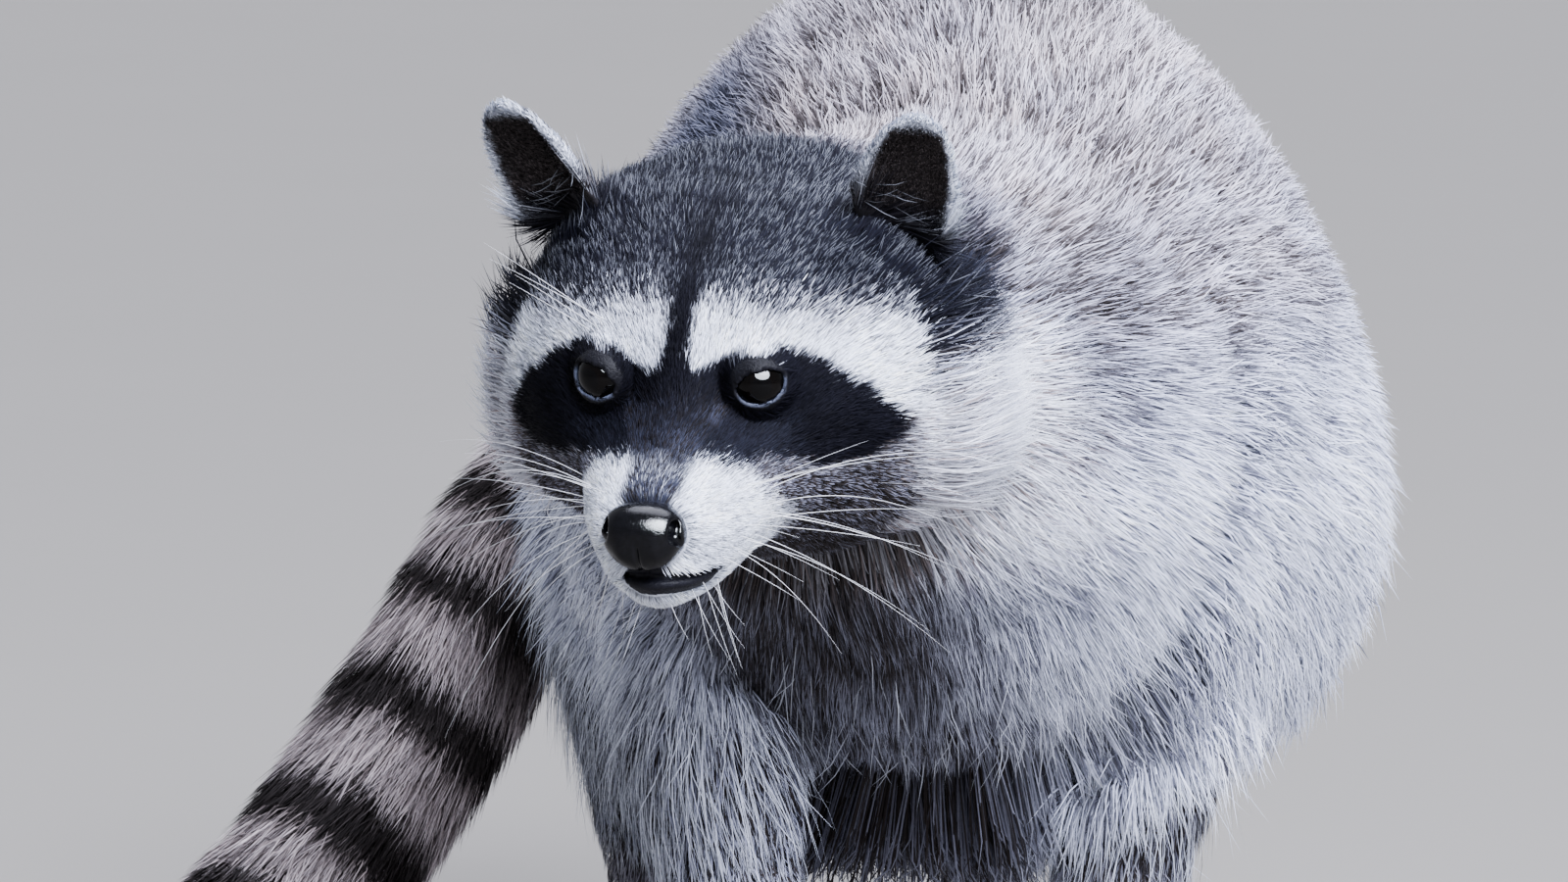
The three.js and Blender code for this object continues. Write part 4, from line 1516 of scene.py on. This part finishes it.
class RACCOON_OT_eyes(bpy.types.Operator):
    """Make the two eyeballs with their pupils and clear fronts"""

    bl_idname = "raccoon.eyes"
    bl_label = "Eyes"

    def execute(self, context):
        centre, aside, up, forward = eye_frame()
        turns = 48
        points, faces, angle = ball(turns, 32, context.scene.raccoon_head.eye_radius / MM)
        points = points @ np.stack([aside, up, forward])
        for name, side in (("left", 1), ("right", -1)):
            mesh = bpy.data.meshes.new(f"eye_{name}")
            fill_mesh(mesh, from_head((points + centre) * np.array([side, 1, 1])), faces[:, ::side])
            gaze = mesh.attributes.new("Gaze", "FLOAT", "POINT")
            gaze.data.foreach_set("value", np.repeat(angle / np.pi * 2, turns).astype(np.float32))
            eye = place_piece(f"eyeball_{name}", mesh, eye_material(), [f"eye_{name}"])
            moist_pieces().objects.link(eye)
        return {"FINISHED"}


def nose_form(q):
    """Below zero inside the nose pad; q is in the head's own frame, in mm."""
    x, y, z = np.abs(q[:, 0]), q[:, 1] + 79.8, q[:, 2] + 16.0
    taper = 1 - 0.24 * np.clip(-z / 9.6, 0, 1)
    size = (x / (12.2 * taper)) ** 2.5 + (np.abs(y) / 8.6) ** 2.2 + (np.abs(z) / 9.7) ** 2.4
    form = (size ** (1 / 2.4) - 1) * 9.0
    away = np.stack([(x - 9.9) / 0.9, (y + 3.6) / 2.6, (z - 3.6) / 1.7], 1)
    hole = np.linalg.norm(away, axis=1) - 1.45
    # The slit that curls from each nostril back and up the side of the pad.
    a, b = np.array([10.0, -4.6, 1.4]), np.array([13.0, -0.4, -2.6])
    p = np.stack([x, y, z], 1) - a
    share = np.clip(p @ (b - a) / ((b - a) ** 2).sum(), 0, 1)
    slit = np.linalg.norm(p - share[:, None] * (b - a), axis=1) - mix(1.5, 0.7, share)
    form = smooth_max(form, -smooth_min(hole, slit, 1.2), 0.8)
    groove = np.exp(-((x / 0.7) ** 2)) * smoothstep(2.0, -2.5, z) * smoothstep(0, -5, y)
    wing = np.exp(-(((x - 5.0) / 2.4) ** 2) - (((y + 8.0) / 3.0) ** 2) - (((z + 2.5) / 3.0) ** 2))
    return form + 0.8 * groove - 0.7 * wing


class RACCOON_OT_nose(bpy.types.Operator):
    """Make the nose pad with its nostrils and the groove between them"""

    bl_idname = "raccoon.nose"
    bl_label = "Nose"

    def execute(self, context):
        step = 0.36
        band = 3 * step
        low, size = np.array([-15.0, -92.0, -28.5]), np.array([84, 64, 70])
        where = grid_places(*[np.arange(n) for n in size]).reshape(-1, 3)
        values = np.clip(nose_form(low + where * step), -band, band).reshape(size)
        points, quads = dense_grid(values.astype(np.float32), step).convertToQuads(isovalue=0.0)
        mesh = bpy.data.meshes.new("nose_pad")
        fill_mesh(mesh, from_head(points + low), quads[:, ::-1])
        pad = place_piece("nose_pad", mesh, nose_material(), ["nose"])
        moist_pieces().objects.link(pad)
        return {"FINISHED"}


def claw_points(node, rows, sides):
    """Rings of points from inside the toe to the tip, for the claw that a node of the frame marks."""
    points = mesh_arrays(node.data)[0].astype(float)
    tip = points[points[:, 1].argmin()]
    axis = unit(tip - points.mean(0))
    across = unit(np.cross(axis, [0, 0, 1.0]))
    upright = np.cross(across, axis)
    root = tip + axis * ((points - tip) @ axis).min()
    root = root - axis * 3 * MM + upright * 0.3 * MM
    long = np.linalg.norm(tip - root)
    turn = np.arange(sides) / sides * 2 * np.pi
    rings = []
    for t in np.arange(rows + 1) / rows:
        middle = root + axis * long * t + upright * MM * (2.0 * np.sin(np.pi * t) - 0.6 * t)
        thick = 1.75 * MM * (1 - t**1.8) + 0.12 * MM
        ring = middle + np.outer(np.cos(turn), across) * thick * 0.75
        ring = ring + np.outer(np.sin(turn), upright) * thick
        ring[:, 2] = np.maximum(ring[:, 2], 0.4 * MM)
        rings.append(ring)
    return np.vstack(rings)


class RACCOON_OT_claws(bpy.types.Operator):
    """Make the twenty claws, rooted in the toes and rounded"""

    bl_idname = "raccoon.claws"
    bl_label = "Claws"

    def execute(self, context):
        rows, sides = 9, 10
        faces = []
        for k in range(rows):
            for j in range(sides):
                a, b = k * sides + j, k * sides + (j + 1) % sides
                faces.append((a, b, b + sides, a + sides))
        last = rows * sides
        faces += [(last, last + j, last + j + 1, last + j + 1) for j in range(1, sides - 1)]
        nodes = [name for name in frame["nodes"] if name.startswith("claw_")]
        claws = [claw_points(frame["nodes"][name], rows, sides) for name in nodes]
        first = np.arange(len(nodes))[:, None, None] * len(claws[0])
        mesh = bpy.data.meshes.new("claws")
        fill_mesh(mesh, np.vstack(claws), (first + np.array(faces)).reshape(-1, 4))
        place_piece("claws", mesh, claw_material(), nodes)
        return {"FINISHED"}


def share_of(count):
    return int(count * bpy.context.scene.raccoon_coat.amount * (1))


def cover_muzzle(coat):
    """Short hair on the muzzle and the jaw, a little longer over the lips."""
    roots = grow_roots(["muzzle", "jaw", "nose"], share_of(46000), 11)
    roots = keep(roots, ~bare(roots["at"]))
    x, y, z = to_left(to_head(roots["at"])).T
    above = z - mouth_line(x)
    flews = smoothstep(0, 1.5, above) * smoothstep(7, 3, above) * smoothstep(5, 9, x)
    size = np.maximum(mix(coat.muzzle / MM, 8.0, smoothstep(-66, -40, y)), 7.0 * flews)
    build_coat("coat_muzzle", roots, "head", size, 0.30, 0.9, "pale_fur", beyond=1.0)


def cover_face(coat):
    """Hair round the eyes and on the forehead, longer further back."""

    def front(points):
        y = to_head(points)[:, 1]
        return smoothstep(2, -2, y) * (1 + smoothstep(-10, -30, y))

    roots = grow_roots(["head"], share_of(54000), 12, front)
    roots = keep(roots, ~bare(roots["at"]))
    size = coat.face / MM
    size = mix(size * 0.62, size * 1.3, smoothstep(-38, -8, to_head(roots["at"])[:, 1]))
    build_coat(
        "coat_face", roots, "head", size, 0.32, 0.95, "face_fur",
        clump=0.15, clump_size=3.0, beyond=1.0,
    )


def cover_crown(coat):
    """Hair of the crown and the cheeks, longer about the ears and longest on the cheeks."""
    roots = grow_roots(["head"], share_of(46000), 13, lambda p: smoothstep(-2, 2, to_head(p)[:, 1]))
    q = to_head(roots["at"])
    cheek = smoothstep(40, 62, np.abs(q[:, 0])) * smoothstep(26, 8, q[:, 2])
    by_ear = smoothstep(30, 18, np.linalg.norm(np.abs(q) - EAR_ROOT, axis=1))
    build_coat(
        "coat_crown", roots, "head", coat.crown / MM * (1 + 1.7 * cheek + 0.5 * by_ear), 0.36, 0.98,
        "face_fur", clump=0.25, clump_size=4.0, beyond=1.0 + 14.0 * cheek + 7.0 * by_ear,
    )


def cover_ruff():
    """Long pale hair that stands out behind the cheeks."""

    def border(points):
        x, y, z = to_left(to_head(points)).T
        back = smoothstep(-16, -4, y) * smoothstep(62, 44, y)
        return smoothstep(44, 54, x) * back * smoothstep(28, 14, z) * smoothstep(-70, -54, z)

    roots = grow_roots(["head", "neck"], share_of(20000), 15, border)
    q = to_head(roots["at"])
    outward = np.stack([q[:, 0], np.full(len(q), 26.0), 0.75 * q[:, 2] - 6], 1)
    roots["lie"] = unit(roots["lie"] + 1.3 * head_direction(unit(outward)))
    build_coat(
        "coat_ruff", roots, "head", 44.0, 0.42, 1.0, "grey_fur",
        clump=0.4, clump_size=6.0, beyond=30.0, lift=13.0, spread=0.2,
    )


def cover_ears(coat):
    """Short hair on the ears, lying out to their rims, and a few pale tufts inside them."""
    roots = grow_roots(["ears"], share_of(18000), 14)
    q = to_head(roots["at"])
    rise, across = ear_place(q)
    sign = own_side(q)
    turn = np.clip(across, -1, 1) * np.abs(across) ** 2
    lie = EAR_AXIS * (0.9 - 0.5 * turn[:, None] ** 2) + EAR_ASIDE * turn[:, None]
    lie = head_direction(lie * sign)
    rim = np.maximum(smoothstep(0.75, 0.88, np.abs(across)), smoothstep(0.86, 0.95, rise))[:, None]
    roots["lie"] = unit(mix(unit(roots["lie"] + lie), lie, rim))
    facing = (roots["normal"] @ HEAD_TURN * sign) @ unit(EAR_FACING)
    tuft = (facing > 0.3) & (rise < 0.45) & (across > 0.2) & (roots["rng"].random(len(q)) < 0.02)
    inward = head_direction((-EAR_AXIS * 0.25 - EAR_ASIDE * 0.85) * sign[tuft])
    roots["lie"][tuft] = unit(inward + roots["normal"][tuft] * 0.5)
    pale = np.array(bpy.context.scene.raccoon_colours.white)

    def pale_tufts(colours):
        colours[tuft] = np.array([0.05, 0.22, 0.42])[:, None] * pale
        return colours

    size = np.where(tuft, 13.0, coat.ear / MM * mix(0.6 + 0.5 * (facing < 0), 0.85, rim[:, 0]))
    build_coat(
        "coat_ears", roots, "head", size, 0.3, 1.0, "ear_fur", tint=pale_tufts,
        beyond=np.where(tuft, 5.0, 2.5), spread=0.15, lift=np.where(tuft, 4.0, 1.4)[:, None],
    )


class RACCOON_OT_head_coat(bpy.types.Operator):
    """Cover the muzzle, face, crown, cheeks and ears"""

    bl_idname = "raccoon.head_coat"
    bl_label = "Coat of the head"

    def execute(self, context):
        coat = context.scene.raccoon_coat
        cover_muzzle(coat)
        cover_face(coat)
        cover_crown(coat)
        cover_ruff()
        cover_ears(coat)
        return {"FINISHED"}


def trunk_locks(roots, coat):
    """How the trunk's locks hang: longer and looser low on the flanks and under the breast."""
    x, y, z = roots["at"].T
    down = roots["normal"][:, 2]
    low = smoothstep(0.27, 0.16, z) * smoothstep(-0.9, -0.5, down)
    under = smoothstep(-0.35, -0.75, down) * smoothstep(0.04, -0.04, y)
    under = under * (1 - 0.8 * smoothstep(0.072, 0.095, x))
    return {
        "beyond": 4 + 18 * low + 50 * under,
        "rise": 1 + 0.75 * low + 2.0 * under,
        "length": coat.trunk / MM * (1 + 0.35 * low + 0.8 * under),
    }


def trunk_clumps(roots):
    """How the trunk's locks clump: more low down."""
    clump = mix(0.4, 0.85, smoothstep(0.24, 0.15, roots["at"][:, 2]))
    return {"slot": "grey_fur", "clump": clump, "clump_size": 5.0, "alike": 0.35}


def cover_neck(coat):
    """Hair of the neck."""
    roots = grow_roots(["neck"], share_of(62000), 21)
    size = coat.neck / MM
    build_coat(
        "coat_neck", roots, "trunk", size, 0.55, 1.0, beyond=3.0, **trunk_clumps(roots)
    )


def one_side(side):
    """Keeps the roots on one side of the trunk's middle: 1 is the left, -1 the right."""
    middle = 0.066
    return lambda points: (points[:, 0] - middle) * side > 0


def cover_trunk(coat):
    """Hair of the chest, both flanks and the rump."""
    for name, region, count, seed, thin, width, curl in (
        ("coat_chest", "chest", 60000, 22, None, 0.6, 0.05),
        ("coat_flank_left", "belly", 40000, 24, one_side(1), 0.65, 0.0),
        ("coat_flank_right", "belly", 29000, 22, one_side(-1), 0.65, 0.0),
        ("coat_rump", "rump", 28000, 25, None, 0.65, 0.0),
    ):
        roots = grow_roots([region], share_of(count), seed, thin)
        settings = trunk_locks(roots, coat) | trunk_clumps(roots)
        build_coat(name, roots, "trunk", width=width, curl=curl, **settings)


def cover_guard_hairs():
    """Long pale guard hairs over the breast and low on the flanks."""

    def low(points):
        x, y, z = points.T
        breast = smoothstep(0.052, 0.034, np.abs(x - 0.04))
        height = smoothstep(0.215, 0.165, z) * smoothstep(0.105, 0.15, z)
        return height * smoothstep(0.2, 0.1, y) * (1 - 0.88 * breast)

    roots = grow_roots(["chest", "belly", "neck", "upper_legs"], share_of(9000), 26, low)
    pale = np.array(bpy.context.scene.raccoon_colours.white)

    def frost(colours):
        return mix(colours, np.array([0.25, 0.6, 0.85])[:, None] * pale, 0.65)

    build_coat(
        "coat_guard_hairs", roots, "trunk", 50.0, 0.36, 1.3, "grey_fur",
        joints=3, clump=0.55, clump_size=9.0, curl=0.08, tint=frost, beyond=22.0, spread=0.22,
    )


class RACCOON_OT_trunk_coat(bpy.types.Operator):
    """Cover the neck, chest, flanks, back, belly and rump"""

    bl_idname = "raccoon.trunk_coat"
    bl_label = "Coat of the trunk"

    def execute(self, context):
        coat = context.scene.raccoon_coat
        cover_neck(coat)
        cover_trunk(coat)
        cover_guard_hairs()
        return {"FINISHED"}


class RACCOON_OT_leg_coat(bpy.types.Operator):
    """Cover the legs and feet"""

    bl_idname = "raccoon.leg_coat"
    bl_label = "Coat of the legs"

    def execute(self, context):
        coat = context.scene.raccoon_coat
        roots = grow_roots(["upper_legs"], share_of(28000), 31)
        build_coat(
            "coat_upper_legs", roots, "legs", coat.leg / MM, 0.5, 1.0, "leg_fur",
            clump=0.45, clump_size=6.0, beyond=2.0,
        )
        roots = grow_roots(["lower_legs"], share_of(16000), 32)
        build_coat(
            "coat_lower_legs", roots, "legs", coat.leg / MM * 0.5, 0.4, 1.0, "leg_fur",
            clump=0.3, clump_size=4.0, beyond=0.5,
        )
        roots = grow_roots(["feet"], share_of(16000), 33, lambda p: smoothstep(0.5 * MM, 3 * MM, p[:, 2]))
        build_coat(
            "coat_feet", roots, "legs", coat.foot / MM, 0.4, 1.0, "leg_fur",
            spread=0.15, beyond=0.8, lift=1.1,
        )
        return {"FINISHED"}


class RACCOON_OT_tail_coat(bpy.types.Operator):
    """Cover the tail with its rings"""

    bl_idname = "raccoon.tail_coat"
    bl_label = "Coat of the tail"

    def execute(self, context):
        coat = context.scene.raccoon_coat
        roots = grow_roots(["tail"], share_of(32000), 41)
        build_coat(
            "coat_tail", roots, "tail", coat.tail / MM, 0.65, 1.05, "tail_fur", clump=0.3, beyond=3.0
        )
        return {"FINISHED"}


def hair_tube(line, thick, sides=5):
    """Points and faces of a tapering tube along a line, thick at its root and closed at its tip."""
    course = unit(np.gradient(line, axis=0))
    aside = unit(np.cross(course, [0.3, 0.2, 1.0]))
    upright = np.cross(course, aside)
    turn = (np.arange(sides) / sides * 2 * np.pi)[None, :, None]
    width = (thick * (1 - 0.85 * np.linspace(0, 1, len(line)) ** 1.3))[:, None, None]
    around = np.cos(turn) * aside[:, None] + np.sin(turn) * upright[:, None]
    rings = line[:, None] + around * width
    i = np.arange(len(line) - 1)[:, None] * sides
    j = np.arange(sides)[None]
    k = (j + 1) % sides
    faces = np.stack([i + j, i + k, i + sides + k, i + sides + j], -1).reshape(-1, 4)
    return rings.reshape(-1, 3), faces


def whisker_places():
    """Row, column and place of every whisker of the left side of the muzzle, in the head's frame."""
    return [
        (row, column, np.array([12.5 + 3.0 * column + 0.8 * row, -66.0 + 4.4 * column, -11.0 - 4.2 * row]))
        for row in range(4)
        for column in range(4 if row % 2 else 5)
    ]


def muzzle_whiskers(rng, side, longest):
    """Side, root, heading, length, droop and thickness of the long whiskers, in mm."""
    hairs = []
    for row, column, root in whisker_places():
        root = root + rng.normal(0, 0.5, 3)
        rise = 0.34 - 0.28 * row + rng.normal(0, 0.10)
        heading = unit(np.array([1.0, 0.06 + 0.13 * column + rng.normal(0, 0.08), rise]))
        long = longest * (0.40 + 0.15 * column) * rng.uniform(0.75, 1.08)
        sag = np.array([-0.15, 0.5 + rng.normal(0, 0.3), -1.0 + rng.normal(0, 0.3)])
        hairs.append((side, root, heading, long, sag * long * rng.uniform(0.12, 0.42), 0.085))
    return hairs


def brow_and_chin_whiskers(rng, side):
    """The same for the few over the brow and the short ones under the chin."""
    hairs = []
    for _ in range(4):
        root = np.array([rng.uniform(19, 27), -33 + rng.normal(0, 1), 30 + rng.normal(0, 2)])
        heading = unit(np.array([0.75 + rng.normal(0, 0.15), -0.15, 0.55 + rng.normal(0, 0.15)]))
        long = rng.uniform(26, 44)
        hairs.append((side, root, heading, long, np.array([0.2, 0.5, -0.3]) * 8, 0.085))
    for _ in range(9):
        root = np.array([rng.uniform(2, 20), rng.uniform(-72, -52), -35 + rng.normal(0, 1.5)])
        heading = unit(np.array([0.35 + rng.normal(0, 0.2), -0.2 + rng.normal(0, 0.2), -1.0]))
        long = rng.uniform(12, 32)
        hairs.append((side, root, heading, long, np.array([0.1, 0.5, 0.1]) * 6, 0.07))
    return hairs


class RACCOON_OT_whiskers(bpy.types.Operator):
    """Make the whiskers of the muzzle, the brows and the chin"""

    bl_idname = "raccoon.whiskers"
    bl_label = "Whiskers"

    def execute(self, context):
        rng = np.random.default_rng(51)
        longest = context.scene.raccoon_head.whisker_length / MM
        hairs = muzzle_whiskers(rng, 1, longest) + muzzle_whiskers(rng, -1, longest)
        hairs += brow_and_chin_whiskers(rng, 1) + brow_and_chin_whiskers(rng, -1)
        every_point, every_face, total = [], [], 0
        t = np.linspace(0, 1, 14)[:, None]
        for side, root, heading, long, droop, thick in hairs:
            mirror = np.array([side, 1, 1])
            on_skin = lay_on_skin(from_head(root * mirror)[None], 6)
            root = to_head(on_skin)[0] * mirror
            line = root + heading * long * t + droop * t**2 - heading * 1.5
            points, faces = hair_tube(from_head(line * mirror), thick * MM)
            every_point.append(points)
            every_face.append(faces + total)
            total += len(points)
        mesh = bpy.data.meshes.new("whiskers")
        fill_mesh(mesh, np.vstack(every_point), np.vstack(every_face))
        place_piece("whiskers", mesh, whisker_material())
        return {"FINISHED"}


# Each lamp's place, its size (two widths of a soft panel or a sun's angle), power and colour.
LAMPS = {
    "window": ((0.82, -1.72, 1.72), (1.6, 1.0), 265.0, (0.82, 0.85, 1.0)),
    "sky": ((0.35, 0.8, 3.0), 50, 8.2, (0.81, 0.84, 1.0)),
    "back": ((2.0, 2.2, 1.8), 40, 4.6, (0.82, 0.86, 1.0)),
    "side": ((2.6, -0.6, 0.4), 40, 4.4, (0.84, 0.87, 1.0)),
    "eye light": ((0.42, -1.7, 1.3), (2.1, 1.6), 1700.0, (0.80, 0.88, 1.0)),
}
AIR_COLOUR, AIR_STRENGTH = (0.86, 0.89, 0.98, 1), 0.62
BODY_MIDDLE = (0.02, 0.0, 0.22)
VIEW_WIDTH = 1600  # the full frame's width in pixels
HEAD_OFF_CENTRE = (63, 50)  # from the head across and down to the middle of the view, in pixels


def lay_floor(scene):
    """A round floor, far wider than the view."""
    bm = bmesh.new()
    bmesh.ops.create_circle(bm, cap_ends=True, segments=96, radius=24.0)
    mesh = bpy.data.meshes.new("floor")
    bm.to_mesh(mesh)
    bm.free()
    mesh.materials.append(floor_material())
    floor = bpy.data.objects.new("floor", mesh)
    scene.collection.objects.link(floor)


def hang_lamps(scene, strength):
    """Soft even air and the lamps, all turned to the middle of the body."""
    world = bpy.data.worlds.new("studio air")
    scene.world = world
    world.use_nodes = True
    air = world.node_tree.nodes["Background"]
    air.inputs["Color"].default_value = AIR_COLOUR
    air.inputs["Strength"].default_value = AIR_STRENGTH
    for name, (place, size, power, tint) in LAMPS.items():
        lamp = bpy.data.lights.new(name, "SUN" if isinstance(size, int) else "AREA")
        if lamp.type == "AREA":
            lamp.shape, (lamp.size, lamp.size_y) = "ELLIPSE", size
        else:
            lamp.angle = math.radians(size)
        lamp.energy, lamp.color = strength * power, tint
        light = bpy.data.objects.new(name, lamp)
        light.visible_glossy = name not in ("back", "side")
        light.visible_camera = False
        light.location = place
        aim = Vector(BODY_MIDDLE) - Vector(place)
        light.rotation_euler = aim.to_track_quat("-Z", "Y").to_euler()
        scene.collection.objects.link(light)
        if name == "eye light":
            # It gives the eyes and the nose their shine and lights nothing else.
            light.visible_diffuse = False
            light.light_linking.receiver_collection = moist_pieces()


def set_camera(scene, stage):
    """A camera in front of the head that looks a little down."""
    lens = bpy.data.cameras.new("camera")
    camera = bpy.data.objects.new("camera", lens)
    scene.collection.objects.link(camera)
    scene.camera = camera
    forward = Vector((0, math.cos(stage.elevation), -math.sin(stage.elevation)))
    upward = Vector((0, math.sin(stage.elevation), math.cos(stage.elevation)))
    pixel = 2 * stage.distance * math.tan(stage.view_angle / 2) / VIEW_WIDTH
    across, down = HEAD_OFF_CENTRE
    aside = Vector((1, 0, 0))
    place = Vector(HEAD_AT) - forward * stage.distance
    camera.location = place + aside * across * pixel - upward * down * pixel
    camera.rotation_euler = forward.to_track_quat("-Z", "Y").to_euler()
    lens.sensor_width = 36
    lens.lens = lens.sensor_width / 2 / math.tan(stage.view_angle / 2)
    lens.clip_start, lens.clip_end = 0.05, 100


class RACCOON_OT_stage(bpy.types.Operator):
    """Lay the floor, hang the lights and set up the camera"""

    bl_idname = "raccoon.stage"
    bl_label = "Floor, lights and camera"

    def execute(self, context):
        scene, stage = context.scene, context.scene.raccoon_stage
        lay_floor(scene)
        hang_lamps(scene, stage.light)
        set_camera(scene, stage)
        return {"FINISHED"}


class RACCOON_PT_panel(bpy.types.Panel):
    """Lists the raccoon's pieces with their sizes and colours"""

    bl_idname = "RACCOON_PT_panel"
    bl_label = "Raccoon"
    bl_space_type = "VIEW_3D"
    bl_region_type = "UI"
    bl_category = "Raccoon"

    def draw(self, context):
        layout = self.layout
        for operator in OPERATORS:
            layout.operator(operator.bl_idname)
        for group in GROUPS:
            box = layout.box()
            box.label(text=group.__name__.replace("Raccoon", ""))
            settings = getattr(context.scene, GROUPS[group])
            for name in group.__annotations__:
                box.prop(settings, name)


OPERATORS = (
    RACCOON_OT_stage,
    RACCOON_OT_skin,
    RACCOON_OT_eyes,
    RACCOON_OT_nose,
    RACCOON_OT_claws,
    RACCOON_OT_head_coat,
    RACCOON_OT_trunk_coat,
    RACCOON_OT_leg_coat,
    RACCOON_OT_tail_coat,
    RACCOON_OT_whiskers,
)
GROUPS = {
    RaccoonHead: "raccoon_head",
    RaccoonCoat: "raccoon_coat",
    RaccoonColours: "raccoon_colours",
    RaccoonStage: "raccoon_stage",
}


def register():
    """Makes the settings, the operators and the panel known to Blender."""
    for group, name in GROUPS.items():
        bpy.utils.register_class(group)
        setattr(bpy.types.Scene, name, PointerProperty(type=group))
    for entry in (*OPERATORS, RACCOON_PT_panel):
        bpy.utils.register_class(entry)


def unregister():
    """Takes them out again."""
    for entry in (RACCOON_PT_panel, *reversed(OPERATORS)):
        bpy.utils.unregister_class(entry)
    for group, name in reversed(GROUPS.items()):
        delattr(bpy.types.Scene, name)
        bpy.utils.unregister_class(group)


def main():
    """Builds the whole raccoon on its stage."""
    register()
    for operator in OPERATORS:
        group, name = operator.bl_idname.split(".")
        getattr(getattr(bpy.ops, group), name)()


if __name__ == "__main__":
    main()
